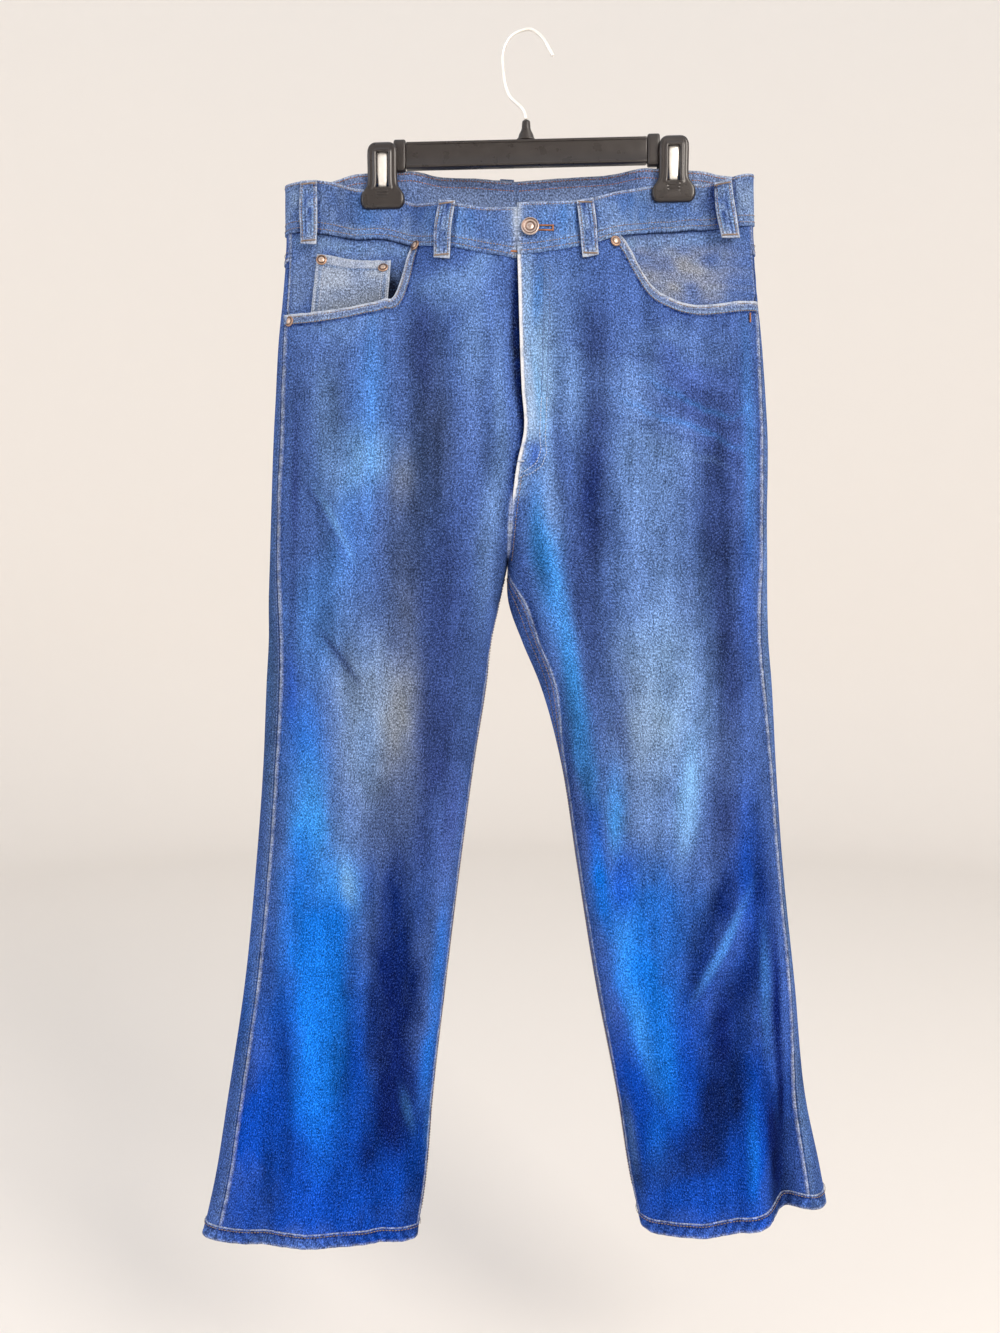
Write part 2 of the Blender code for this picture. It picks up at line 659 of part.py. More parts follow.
def band(side, finish):
    """Half the waistband, from the centre front round the side to the centre back."""
    shares = inset_shares(BAND_COLUMNS, BAND_LENGTH)
    t = t_at(side, "band", shares, np.full(shares.shape, SEAM_LEVEL))
    z = rows_between(band_top(side, t), waist_seam(side, t), BAND_ROWS)
    t = t_at(side, "band", np.broadcast_to(shares, z.shape), z)
    cloth_wall(f"waistband_{side}", side, t, z, BAND_PROUD, BAND_WALL, finish)


def hem(side, part, finish):
    """The turned-up hem of one panel."""
    shares = inset_shares(HEM_COLUMNS, HEM_WIDTH)
    t = t_at(side, part, shares, np.full(shares.shape, HEM_LEVEL))
    z = rows_between(hem_seam(side, t), edge(HEM_Z[side], t), HEM_ROWS)
    t = t_at(side, part, np.broadcast_to(shares, z.shape), z)
    cloth_wall(f"hem_{side}_{part}", side, t, z, HEM_PROUD, HEM_WALL, finish)


def back_pocket(side, finish):
    """A plain patch on the back, with straight sides drawn in and a pointed lower edge."""
    u = np.linspace(0, 1, POCKET_COLUMNS)[None, :]
    v = np.linspace(0, 1, POCKET_ROWS)[:, None]
    half = (POCKET_TOP_WIDTH * (1 - v) + POCKET_FOOT_WIDTH * v) / 2 / BACK_WIDTH
    share = POCKET_MIDDLE + half * (2 * u - 1)
    height = POCKET_SIDE + POCKET_POINT * (1 - np.abs(2 * u - 1))
    z = POCKET_Z + POCKET_SLANT * (u - 0.5) - height * v
    t = t_at(side, "back", share, z)
    cloth_wall(f"back_pocket_{side}", side, t, z, POCKET_GAP + PATCH_WALL, PATCH_WALL, finish)


def pocket_facing(side, finish):
    """The cloth seen over the pocket's mouth. It runs down behind the front panel."""
    end = MOUTH_END[side] + FACING_BEYOND_MOUTH
    shares = np.linspace(FACING_EDGE, end, FACING_COLUMNS)[None, :]
    top = panel_top(side, "front", shares) - FACING_TOP_GAP
    bottom = mouth_edge(side, np.minimum(shares, MOUTH[side][-1][0])) - FACING_DROP
    v = np.linspace(0, 1, FACING_ROWS)[:, None]
    z = top + (bottom - top) * v
    sunk = smooth(np.minimum(shares / FACING_SINK_SHARE, 1)) * smooth(v / FACING_SINK_HEIGHT)
    face = -FACING_EDGE_DEPTH - (FACING_DEPTH - FACING_EDGE_DEPTH) * sunk
    t = t_at(side, "front", np.broadcast_to(shares, z.shape), z)
    cloth_wall(f"pocket_facing_{side}", side, t, z, face, DENIM, finish)


def coin_pocket(finish):
    """The small pocket on the facing, wider at its top, behind the front panel at its foot."""
    side = "right"
    u = np.linspace(0, 1, COIN_COLUMNS)[None, :]
    v = np.linspace(0, 1, COIN_ROWS)[:, None]
    left = COIN_TOP[0][0] * (1 - v) + COIN_FOOT[0][0] * v
    right = COIN_TOP[1][0] * (1 - v) + COIN_FOOT[1][0] * v
    upper = COIN_TOP[0][1] * (1 - u) + COIN_TOP[1][1] * u
    lower = COIN_FOOT[0][1] * (1 - u) + COIN_FOOT[1][1] * u
    share = left + (right - left) * u
    z = upper + (lower - upper) * v
    cloth_wall("coin_pocket", side, t_at(side, "front", share, z), z, COIN_FACE, COIN_WALL, finish)


def fly_layer(name, width, top_gap, end_z, depth, wall, columns, finish):
    """A strip behind the left front's edge, from the band's seam down to end_z."""
    side = "left"
    pad = FLY_INSET / FRONT_WIDTH
    shares = np.linspace(1 - width / FRONT_WIDTH, 1 - pad, columns)[None, :]
    top = panel_top(side, "front", shares) - top_gap
    z = rows_between(top, np.full_like(top, end_z), FLY_ROWS)
    t = t_at(side, "front", np.broadcast_to(shares, z.shape), z)
    cloth_wall(name, side, t, z, -depth, wall, finish)


def belt_loop(name, side, place, finish):
    """A strap over the band, bowed out between its two sewn ends."""
    part, at_top, at_foot = place
    across = LOOP_WIDTH / (FRONT_WIDTH if part == "front" else BACK_WIDTH)
    across = across * np.linspace(-0.5, 0.5, 3)[None, :]
    at_band = t_at(side, part, (at_top + at_foot) / 2 + across, np.full(across.shape, SEAM_LEVEL))
    top = band_top(side, at_band) + LOOP_OVER
    bottom = waist_seam(side, at_band) - LOOP_UNDER
    v = np.linspace(0, 1, LOOP_ROWS)[:, None]
    z = top + (bottom - top) * v
    t = t_at(side, part, at_top + (at_foot - at_top) * v + across, z)
    bow = LOOP_BOW * np.sin(np.pi * v) ** 2 * np.ones_like(across)
    face = BAND_PROUD + LAY_GAP + LOOP_WALL + bow
    cloth_wall(name, side, t, z, face, LOOP_WALL, finish)


def frame_at(side, t, z):
    """A point's outward direction and two directions along the cloth."""
    out = cloth_normal(side, t, z)
    across = np.cross(np.array([0, 0, 1.0]), out)
    across = across / np.linalg.norm(across)
    return out, across, np.cross(out, across)


def add_turned(name, centre, out, across, up, profile, segments, finish):
    """A round piece about out. profile is (radius, height) pairs from its foot to its crown, and
    both ends are closed by a flat cap."""
    angle = np.linspace(0, 2 * np.pi, segments, endpoint=False)
    round_ = np.cos(angle)[:, None] * across + np.sin(angle)[:, None] * up
    points = np.concatenate([centre + out * h + round_ * r for r, h in profile])
    faces = []
    for row in range(len(profile) - 1):
        for column in range(segments):
            a, b = column, (column + 1) % segments
            faces.append([row * segments + a, row * segments + b,
                          (row + 1) * segments + b, (row + 1) * segments + a])
    faces.append(list(range(segments))[::-1])
    faces.append([(len(profile) - 1) * segments + i for i in range(segments)])
    add_object(name, points, faces, finish)


def rivet(name, side, x, z, face, finish):
    t = t_at_x(side, x, z)
    out, across, up = frame_at(side, t, z)
    centre = raised(side, t, z, face + LAY_GAP)
    add_turned(name, centre, out, across, up, RIVET_PROFILE, RIVET_SEGMENTS, finish)


def button(finish):
    side, x, z = BUTTON_AT
    t = t_at_x(side, x, z)
    out, across, up = frame_at(side, t, z)
    centre = raised(side, t, z, BAND_PROUD + LAY_GAP)
    add_turned("button", centre, out, across, up, BUTTON_PROFILE, BUTTON_SEGMENTS, finish)


def add_tube(name, path, radius, segments, finish):
    """A round bar along a path in the plane y = 0."""
    path = np.asarray(path, float)
    along = np.gradient(path, axis=0)
    along = along / np.linalg.norm(along, axis=1, keepdims=True)
    out = np.array([0, 1.0, 0])
    beside = np.cross(along, out)
    angle = np.linspace(0, 2 * np.pi, segments, endpoint=False)
    points = np.concatenate([
        p + radius * (np.cos(angle)[:, None] * b + np.sin(angle)[:, None] * out)
        for p, b in zip(path, beside)
    ])
    faces = []
    for row in range(len(path) - 1):
        for column in range(segments):
            a, b = column, (column + 1) % segments
            faces.append([row * segments + a, row * segments + b,
                          (row + 1) * segments + b, (row + 1) * segments + a])
    faces.append(list(range(segments))[::-1])
    faces.append([(len(path) - 1) * segments + i for i in range(segments)])
    add_object(name, points, faces, finish)


def smooth_path(points, each):
    """A curve through the points, with each steps between two of them."""
    points = np.asarray(points, float)
    length = np.concatenate([[0], np.cumsum(np.linalg.norm(np.diff(points, axis=0), axis=1))])
    at = np.concatenate([
        np.linspace(length[i], length[i + 1], each, endpoint=False) for i in range(len(points) - 1)
    ] + [length[-1:]])
    columns = [np.column_stack([length, points[:, axis]]) for axis in range(2)]
    return [table(rows, ("s", "v"), "v", at) for rows in columns]


def hook(finish):
    x, z = smooth_path(HOOK_PATH, HOOK_STEPS)
    path = np.stack([x, np.zeros_like(x), z], axis=-1)
    add_tube("hook_wire", path, HOOK_RADIUS, HOOK_SEGMENTS, finish)


def slope(x):
    """How far the hanger's slight tilt lifts a point at x."""
    return CLIP_TILT * (x - BAR_MIDDLE_X)


def bar(finish):
    """The hanger's beam: a channel open to the back, with a flange along its top and foot."""
    x = np.linspace(BAR_X[0], BAR_X[1], BAR_STEPS)[:, None]
    outline = BAR_HALF_DEPTH, BAR_HEIGHT / 2, BAR_WEB, BAR_FLANGE
    half, high, web, flange = outline
    section_y = np.array([-half, half, half, -half + web, -half + web, half, half, -half])
    section_z = np.array([high, high, high - flange, high - flange,
                          flange - high, flange - high, -high, -high])
    lift = slope(x) + BAR_MIDDLE_Z
    points = np.stack([
        np.broadcast_to(x, (len(x), 8)),
        np.broadcast_to(section_y, (len(x), 8)),
        section_z + lift,
    ], axis=-1)
    faces = []
    for row in range(BAR_STEPS - 1):
        for i in range(8):
            j = (i + 1) % 8
            faces.append([row * 8 + i, row * 8 + j, (row + 1) * 8 + j, (row + 1) * 8 + i])
    first = BAR_END_FACES
    last = (BAR_STEPS - 1) * 8
    faces += [list(reversed(f)) for f in first] + [[last + i for i in f] for f in first]
    add_object("hanger_bar", points.reshape(-1, 3), faces, finish)


def add_block(name, low, high, tilt, finish):
    """A plain block between two corners, its top and foot sloped with the hanger."""
    x = np.array([low[0], high[0]])
    points = [
        (px, py, pz + (slope(px) if tilt else 0))
        for px in x for py in (low[1], high[1]) for pz in (low[2], high[2])
    ]
    faces = [(0, 1, 3, 2), (4, 6, 7, 5), (0, 4, 5, 1), (2, 3, 7, 6), (0, 2, 6, 4), (1, 5, 7, 3)]
    add_object(name, points, [list(f) for f in faces], finish)


def neck(finish):
    """The boss that holds the hook, narrow at its top and flared on the beam."""
    levels = np.array(NECK_PROFILE)
    angle = np.linspace(0, 2 * np.pi, NECK_SEGMENTS, endpoint=False)
    points = np.concatenate([
        np.stack([NECK_X + w * np.cos(angle), d * np.sin(angle), np.full(NECK_SEGMENTS, z)], axis=-1)
        for z, w, d in levels
    ])
    faces = []
    for row in range(len(levels) - 1):
        for column in range(NECK_SEGMENTS):
            a, b = column, (column + 1) % NECK_SEGMENTS
            faces.append([row * NECK_SEGMENTS + a, row * NECK_SEGMENTS + b,
                          (row + 1) * NECK_SEGMENTS + b, (row + 1) * NECK_SEGMENTS + a])
    faces.append(list(range(NECK_SEGMENTS))[::-1])
    faces.append([(len(levels) - 1) * NECK_SEGMENTS + i for i in range(NECK_SEGMENTS)])
    add_object("hook_neck", points, faces, finish)


def jaw(name, side, sign, finish):
    """One plate of a clip: a tall body over a broad rounded pad. It presses on the band at its
    foot and leans away from it above. sign is -1 for the front plate."""
    rows = np.array(JAW_ROWS)
    down, half, inner, wall = rows.T
    columns = np.array(JAW_COLUMNS)
    x = CLIP_X[side] + half[:, None] * columns
    z = CLIP_FOOT_Z[side] + CLIP_HEIGHT - down[:, None] + CLIP_TILT * half[:, None] * columns
    bend = JAW_ROUND * (columns**2)[None, :] * np.ones_like(half[:, None])
    y_inner = inner[:, None] * np.ones_like(x)
    y_outer = y_inner + wall[:, None] * (1 - bend)
    outer = np.stack([x, sign * y_outer, z], axis=-1)
    back = np.stack([x, sign * y_inner, z], axis=-1)
    present = np.ones((len(rows) - 1, len(columns) - 1), bool)
    first, last = JAW_SLOT_ROWS
    present[first:last, JAW_SLOT_COLUMN] = False
    add_slab(name, outer, back, finish, present=present)


def spring(side, finish):
    """The bent steel strip seen in the slot, which runs over the top and pulls the jaws in."""
    rows = np.array(SPRING_PATH)
    y, down = rows.T
    x = CLIP_X[side] + SPRING_OFF + SPRING_WIDTH / 2 * np.array([-1, 1])[:, None]
    path = np.stack([y, -down], axis=-1)
    along = np.gradient(path, axis=0)
    along = along / np.linalg.norm(along, axis=1, keepdims=True)
    off = np.stack([-along[:, 1], along[:, 0]], axis=-1) * SPRING_WALL
    top = CLIP_FOOT_Z[side] + CLIP_HEIGHT

    def grid(shift):
        moved = path + shift
        return np.stack([
            np.broadcast_to(x, (2, len(rows))),
            np.broadcast_to(moved[:, 0], (2, len(rows))),
            np.broadcast_to(top + moved[:, 1], (2, len(rows))),
        ], axis=-1)

    add_slab(f"clip_{side}_spring", grid(0 * off), grid(off), finish)


def main():
    for old in list(bpy.data.objects):
        bpy.data.objects.remove(old)
    denim = material("denim", (0.10, 0.19, 0.42), 0.85)
    tape = material("zip_tape", (0.06, 0.09, 0.18), 0.8)
    copper = material("aged_copper", (0.45, 0.25, 0.16), 0.4, 1.0)
    plastic = material("black_plastic", (0.012, 0.012, 0.014), 0.4)
    steel = material("bright_steel", (0.6, 0.6, 0.6), 0.3, 1.0)
    for side in ("right", "left"):
        front_panel(side, denim)
        back_panel(side, denim)
        yoke(side, denim)
        band(side, denim)
        pocket_facing(side, denim)
        back_pocket(side, denim)
        hem(side, "front", denim)
        hem(side, "back", denim)
    coin_pocket(denim)
    fly_layer("zip_chain", ZIP_WIDTH, ZIP_TOP_GAP, ZIP_END_Z, ZIP_DEPTH, ZIP_WALL, 3, tape)
    fly_layer("fly_shield", SHIELD_WIDTH, SEAM_GAP, SHIELD_END_Z, SHIELD_DEPTH, DENIM, 6, denim)
    for name, (side, *place) in LOOPS.items():
        belt_loop(f"belt_loop_{name}", side, place, denim)
    for name, (side, x, z, face) in RIVETS.items():
        rivet(f"rivet_{name}", side, x, z, face, copper)
    button(copper)
    hook(steel)
    neck(plastic)
    bar(plastic)
    for side in ("right", "left"):
        low, high = BAR_ENDS[side]
        add_block(f"bar_end_{side}", low, high, True, plastic)
        jaw(f"clip_{side}_front_jaw", side, -1, plastic)
        jaw(f"clip_{side}_back_jaw", side, 1, plastic)
        spring(side, steel)


main()
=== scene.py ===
# %% [markdown]
# # Bootcut jeans on a clip hanger
#
# The imported CAD model is the frame, and it stays as it is. This lesson lays finer cloth over the
# same form: each panel is worked out again from the trousers' levels, with more creases, then
# sewn, worn and faded as old washed denim is, with painted shade in its folds and painted
# highlights on their ridges. Lengths are in millimetres until a mesh is made.

import math

import bpy
import numpy as np
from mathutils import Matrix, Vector


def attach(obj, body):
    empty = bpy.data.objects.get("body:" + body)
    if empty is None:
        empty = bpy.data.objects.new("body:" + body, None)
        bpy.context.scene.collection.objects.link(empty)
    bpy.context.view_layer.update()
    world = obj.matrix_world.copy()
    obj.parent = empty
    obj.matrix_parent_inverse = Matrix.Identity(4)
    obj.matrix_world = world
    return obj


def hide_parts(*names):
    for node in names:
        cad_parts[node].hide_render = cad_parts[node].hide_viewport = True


MM = 0.001
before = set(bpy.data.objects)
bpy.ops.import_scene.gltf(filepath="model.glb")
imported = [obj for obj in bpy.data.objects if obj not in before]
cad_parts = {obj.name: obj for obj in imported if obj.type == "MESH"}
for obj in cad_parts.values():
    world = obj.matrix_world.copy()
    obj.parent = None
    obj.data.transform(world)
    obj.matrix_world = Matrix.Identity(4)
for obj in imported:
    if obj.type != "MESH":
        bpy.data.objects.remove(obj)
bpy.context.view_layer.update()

# %% [markdown]
# ## Camera
#
# The photo was taken square on, from about a metre, level with the thighs. From so near, the
# underside of the hanger shows and the legs turn a little of their backs to the lens.

# %% Camera
CAMERA_AT = (-0.0285, -1.0, -0.6037)
LENS_MM = 28.43


def add_object(name, data):
    """A new object in the scene, at the origin."""
    made = bpy.data.objects.new(name, data)
    bpy.context.scene.collection.objects.link(made)
    return made


def add_camera():
    """A camera that looks along +Y, level."""
    data = bpy.data.cameras.new("photo_camera")
    data.lens = LENS_MM
    data.sensor_width = 36.0
    camera = add_object("photo_camera", data)
    camera.location = CAMERA_AT
    camera.rotation_euler = (math.radians(90), 0, 0)
    bpy.context.scene.camera = camera
    return camera


print("Camera:", add_camera().name)

# %% [markdown]
# ## The form of the trousers
#
# A table gives one row for each level. Each half of the garment is half an ellipse-like curve for
# the front and one for the back. Above the crotch they stop at the centre line, and below it they
# close into a leg. These are the sizes the solids were made from, so that the cloth lies on them.

# %% Sizes of the form
SEAM_GAP = 0.36  # between the legs' seams above the crotch
CROTCH_Z = -503.0
FRONT_HOOK, BACK_HOOK, HOOK_POWER = 62.0, 120.0, 0.62  # the curve of the crotch's seams
CLIP_X = {"right": -139.5, "left": 135.5}
CLIP_FOOT_Z = {"right": -171.0, "left": -164.5}
# The clips press the band flat over this half width, and the cloth eases out over these lengths
CLIP_GRIP_HALF, CLIP_FADE_X, CLIP_FADE_Z, CLIP_CLOTH_HALF = 22.5, 24.0, 72.0, 2.1
HEM_HEIGHT = 13.5
FLY_TOP_Z, FLY_END_Z, FLY_DIP, FLY_DIP_WIDTH = -232.0, -420.0, 3.0, 10.0
# Widths that turn a share across a piece into millimetres for its weave and seams
FRONT_WIDTH, BACK_WIDTH, BAND_LENGTH, HEM_WIDTH = 245.0, 270.0, 470.0, 220.0
SEAM_LEVEL, HEM_LEVEL = -215.0, -1130.0
YOKE_DROP_AT_SIDE, YOKE_DROP_AT_CENTRE = 26.0, 62.0
SECTION_COLUMNS = ("z", "outer", "inner", "front", "back", "side", "roll", "in_roll", "square")
RIGHT_SECTIONS = (
    (-100, -230, -13, -36, 21, 0, 0.15, 0.00, 2.5),
    (-165, -231, -13, -38, 22, 0, 0.15, 0.00, 2.5),
    (-212, -231, -13, -42, 26, 0, 0.16, 0.00, 2.5),
    (-255, -234, -12, -45, 32, 0, 0.18, 0.00, 2.5),
    (-294, -238, -11, -47, 38, 0, 0.19, 0.00, 2.4),
    (-351, -241, -9, -49, 46, 0, 0.20, 0.00, 2.4),
    (-391, -243, -7, -50, 50, 0, 0.21, 0.00, 2.4),
    (-420, -244, -13, -50, 52, 0, 0.21, 0.00, 2.4),
    (-460, -245, -18, -51, 53, 0, 0.21, 0.00, 2.4),
    (-503, -246, -21, -51, 52, 0, 0.20, 0.00, 2.4),
    (-541, -247, -29, -50, 50, 0, 0.20, 0.00, 2.4),
    (-579, -247, -37, -49, 48, 0, 0.20, 0.03, 2.4),
    (-617, -249, -41, -47, 46, 0, 0.21, 0.05, 2.4),
    (-693, -252, -53, -42, 40, 0, 0.21, 0.05, 2.5),
    (-788, -259, -66, -36, 34, 0, 0.21, 0.05, 2.5),
    (-902, -270, -80, -31, 30, 0, 0.21, 0.05, 2.6),
    (-1016, -287, -93, -28, 27, 0, 0.21, 0.05, 2.6),
    (-1080, -297, -98, -27, 26, 0, 0.21, 0.05, 2.6),
    (-1150, -312, -108, -26, 25, 0, 0.20, 0.05, 2.6),
)
LEFT_SECTIONS = (
    (-100, 210, -13, -36, 21, 0, 0.15, 0.00, 2.5),
    (-165, 211, -13, -38, 22, 0, 0.15, 0.00, 2.5),
    (-212, 212, -13, -42, 26, 0, 0.13, 0.00, 2.5),
    (-255, 215, -12, -45, 32, 0, 0.13, 0.00, 2.5),
    (-294, 219, -11, -47, 38, 0, 0.15, 0.00, 2.4),
    (-351, 223, -9, -49, 46, 0, 0.18, 0.00, 2.4),
    (-391, 225, -7, -50, 50, 0, 0.19, 0.00, 2.4),
    (-420, 225, -13, -50, 52, 0, 0.19, 0.00, 2.4),
    (-460, 224, -18, -51, 53, 0, 0.18, 0.00, 2.4),
    (-503, 224, -21, -51, 52, 0, 0.17, 0.00, 2.4),
    (-541, 224, -21, -50, 50, 0, 0.17, 0.15, 2.4),
    (-579, 225, -8, -49, 48, 0, 0.17, 0.17, 2.4),
    (-617, 228, 8, -47, 46, 0, 0.17, 0.17, 2.4),
    (-693, 232, 29, -43, 41, 1, 0.15, 0.08, 2.5),
    (-788, 239, 44, -37, 35, 2, 0.14, 0.07, 2.5),
    (-902, 251, 62, -32, 31, 4, 0.15, 0.08, 2.5),
    (-1016, 263, 84, -30, 31, 8, 0.20, 0.06, 2.5),
    (-1080, 277, 94, -29, 33, 12, 0.23, 0.05, 2.5),
    (-1150, 290, 109, -29, 34, 16, 0.26, 0.05, 2.5),
)

BAND_COLUMNS_OF = ("t", "top", "height")
BAND_ROWS_OF = {
    "right": (
        (-1, -185.5, 46.5), (-0.94, -185, 42), (-0.885, -180.5, 42), (-0.83, -176, 42.5),
        (-0.75, -165.5, 42), (-0.66, -155, 45), (-0.587, -152.2, 48), (-0.39, -153, 49),
        (-0.28, -152.5, 47), (0, -150, 47), (0.38, -140, 46), (0.6, -135, 46), (0.8, -132, 46),
        (0.93, -131, 46), (1, -134, 46),
    ),
    "left": (
        (-1, -181, 48.5), (-0.96, -180, 47), (-0.89, -178, 43.5), (-0.85, -175, 43),
        (-0.784, -166, 43), (-0.68, -150, 45), (-0.6, -147.5, 46), (-0.5, -147, 44),
        (-0.41, -149, 44), (-0.33, -148.5, 45.5), (-0.17, -143, 48.5), (0, -139, 48),
        (0.3, -134, 46), (0.55, -132, 46), (0.8, -129, 46), (0.93, -131, 46), (1, -134, 46),
    ),
}

HEM_Z = {
    "right": ((-1, -1142), (-0.5, -1140), (0, -1139), (0.5, -1140), (1, -1142)),
    "left": ((-1, -1130), (-0.75, -1133), (-0.55, -1129), (-0.42, -1119), (-0.33, -1110),
             (-0.2, -1112), (0, -1112), (0.3, -1117), (0.6, -1126), (1, -1130)),
}

# Large folds, a row each: x0, z0, x1, z1, width to each side, height out, or in where it is
# negative, and 1 where the fold grows to its end
FOLDS = {
    ("right", "front"): (
        (-146, -300, -150, -560, 13, 4.5, 0), (-88, -250, -104, -620, 20, -5.0, 0),
        (-226, -395, -184, -475, 12, -4.5, 0), (-210, -520, -162, -620, 15, -5.0, 0),
        (-128, -560, -120, -800, 26, 4.0, 0), (-196, -800, -206, -1150, 20, 5.0, 1),
        (-146, -880, -142, -1145, 15, -6.0, 1), (-238, -860, -232, -1040, 14, -4.0, 0),
    ),
    ("left", "front"): (
        (8, -400, 30, -720, 15, 5.0, 0), (30, -720, 96, -860, 15, 4.5, 0),
        (54, -260, 66, -600, 20, -5.0, 0), (172, -330, 164, -700, 20, -6.0, 0),
        (210, -350, 176, -500, 12, 5.0, 0), (150, -610, 128, -800, 18, 5.0, 0),
        (66, -800, 146, -1080, 18, 5.0, 0), (190, -780, 158, -930, 15, 5.0, 0),
        (205, -830, 178, -1060, 20, -6.0, 0), (237, -960, 238, -1160, 13, -21.0, 1),
        (206, -1020, 210, -1160, 15, 5.0, 1),
    ),
    ("right", "back"): (
        (-60, -470, -150, -540, 22, -6.0, 0), (-140, -560, -150, -800, 24, 5.0, 0),
        (-100, -640, -170, -760, 18, -5.0, 0), (-200, -760, -230, -1150, 22, 5.0, 1),
        (-150, -840, -160, -1150, 18, -5.0, 1),
    ),
    ("left", "back"): (
        (24, -470, 130, -550, 22, -6.0, 0), (110, -560, 120, -800, 24, 5.0, 0),
        (70, -650, 160, -770, 18, -5.0, 0), (180, -760, 222, -1150, 22, 5.0, 1),
        (140, -850, 158, -1150, 18, -5.0, 1),
    ),
}

MOUTH = {
    "right": (
        (0.0, -276), (0.14, -277.5), (0.25, -275.5), (0.35, -271.5), (0.44, -267), (0.486, -260),
        (0.500, -245), (0.510, -228), (0.53, -211),
    ),
    "left": (
        (0.0, -262), (0.1, -265.5), (0.2, -270), (0.29, -272), (0.385, -266.5), (0.446, -257),
        (0.49, -240), (0.545, -219), (0.585, -209),
    ),
}
MOUTH_END = {"right": 0.555, "left": 0.61}
print("Levels of the form:", len(RIGHT_SECTIONS), "and", len(LEFT_SECTIONS))

# %% [markdown]
# ## Creases
#
# The solids hold the largest folds. These are the finer ones: the drag lines from the hips, the
# soft breaks over the thighs, the knee's crush and the long flutes of the lower legs. A cloth
# simulation makes creases too, but not where these are, so each is drawn one by one. They are
# uneven, and the hidden back has its own. A row is a line from (x0, z0) to (x1, z1), with the
# width to each side, the height out, or in where it is negative, and 1 if it grows to its end.

# %% Creases
CREASES = {
    ("right", "front"): (
        (-205, -445, -168, -520, 6, -2.2, 0), (-200, -452, -160, -528, 6, 1.8, 0),
        (-200, -560, -152, -645, 6, -2.4, 0), (-206, -572, -160, -655, 7, 1.6, 0),
        (-168, -690, -118, -745, 9, -1.6, 0), (-118, -600, -70, -700, 12, -2.0, 0),
        (-60, -460, -30, -560, 9, -2.2, 0), (-44, -430, -22, -520, 6, 1.8, 0),
        (-212, -300, -170, -318, 9, 1.2, 0), (-120, -300, -70, -360, 12, 1.4, 0),
        (-176, -280, -180, -420, 9, -1.6, 0), (-58, -260, -56, -420, 10, 1.4, 0),
        (-80, -760, -92, -960, 9, 2.2, 0), (-110, -820, -112, -1120, 10, -3.0, 1),
        (-178, -830, -168, -1100, 12, -2.6, 0), (-160, -1000, -150, -1140, 8, 2.2, 1),
        (-222, -980, -246, -1140, 12, -3.0, 1), (-242, -860, -262, -1100, 8, 2.0, 0),
        (-190, -745, -140, -790, 8, -1.4, 0), (-150, -790, -110, -812, 7, 1.3, 0),
    ),
    ("left", "front"): (
        (0, -455, 20, -560, 7, -2.6, 0), (14, -470, 44, -620, 8, 2.2, 0),
        (18, -560, 60, -760, 9, -2.4, 0), (84, -300, 96, -420, 10, 1.6, 0),
        (120, -330, 190, -352, 8, 1.5, 0), (118, -352, 186, -372, 7, -1.6, 0),
        (112, -382, 180, -404, 8, 1.3, 0), (200, -480, 186, -640, 9, 2.4, 0),
        (160, -640, 120, -720, 9, -1.8, 0), (152, -700, 132, -790, 6, 2.2, 0),
        (100, -700, 150, -745, 8, -1.4, 0), (60, -830, 100, -1000, 9, 2.2, 0),
        (96, -860, 132, -1080, 9, -2.6, 0), (168, -800, 150, -880, 9, -2.4, 0),
        (222, -760, 176, -1000, 10, 2.4, 0), (150, -960, 160, -1130, 10, 2.0, 1),
        (186, -940, 196, -1120, 9, -2.2, 1), (120, -1020, 126, -1135, 9, -2.0, 1),
    ),
    ("right", "back"): (
        (-40, -440, -110, -500, 9, -3.0, 0), (-60, -510, -150, -560, 9, 2.4, 0),
        (-70, -540, -160, -600, 8, -2.6, 0), (-200, -430, -140, -480, 10, -2.0, 0),
        (-210, -640, -120, -700, 9, -2.2, 0), (-220, -690, -130, -730, 9, 2.2, 0),
        (-110, -730, -200, -780, 9, -2.4, 0), (-130, -800, -150, -1100, 12, -2.6, 1),
        (-230, -860, -262, -1130, 12, 2.6, 1),
    ),
    ("left", "back"): (
        (10, -440, 90, -505, 9, -3.0, 0), (30, -515, 130, -560, 9, 2.4, 0),
        (40, -545, 140, -606, 8, -2.6, 0), (180, -430, 120, -486, 10, -2.0, 0),
        (200, -650, 110, -704, 9, -2.2, 0), (206, -694, 112, -738, 9, 2.2, 0),
        (90, -730, 180, -784, 9, -2.4, 0), (118, -800, 140, -1100, 12, -2.6, 1),
        (214, -860, 250, -1120, 12, 2.6, 1),
    ),
}
print("Creases drawn by hand:", sum(len(rows) for rows in CREASES.values()))

# %% [markdown]
# ## Working out the cloth
#
# `cloth` gives the face of the cloth at any place t round a half and any height z, and
# `face_and_normal` the way out of it too. `t_at` turns a share of a panel's own width into t, so
# that the grid's columns are evenly spaced on the cloth.

# %% Curves through tables, and value noise


def table(rows, columns, name, at):
    """One column of a table at any level, by a smooth curve through its rows:
    p(u) = p0 (1+2u)(1-u)^2 + p1 (3-2u)u^2 + m0 u(1-u)^2 - m1 u^2(1-u)."""
    rows = np.array(rows, float)
    rows = rows[np.argsort(rows[:, 0])]
    place = rows[:, 0]
    value = rows[:, columns.index(name)]
    slope = np.gradient(value, place)
    at = np.clip(np.asarray(at, float), place[0], place[-1])
    i = np.clip(np.searchsorted(place, at) - 1, 0, len(place) - 2)
    step = place[i + 1] - place[i]
    u = (at - place[i]) / step
    return (
        value[i] * (1 + 2 * u) * (1 - u) ** 2
        + value[i + 1] * (3 - 2 * u) * u**2
        + slope[i] * step * u * (1 - u) ** 2
        - slope[i + 1] * step * u**2 * (1 - u)
    )


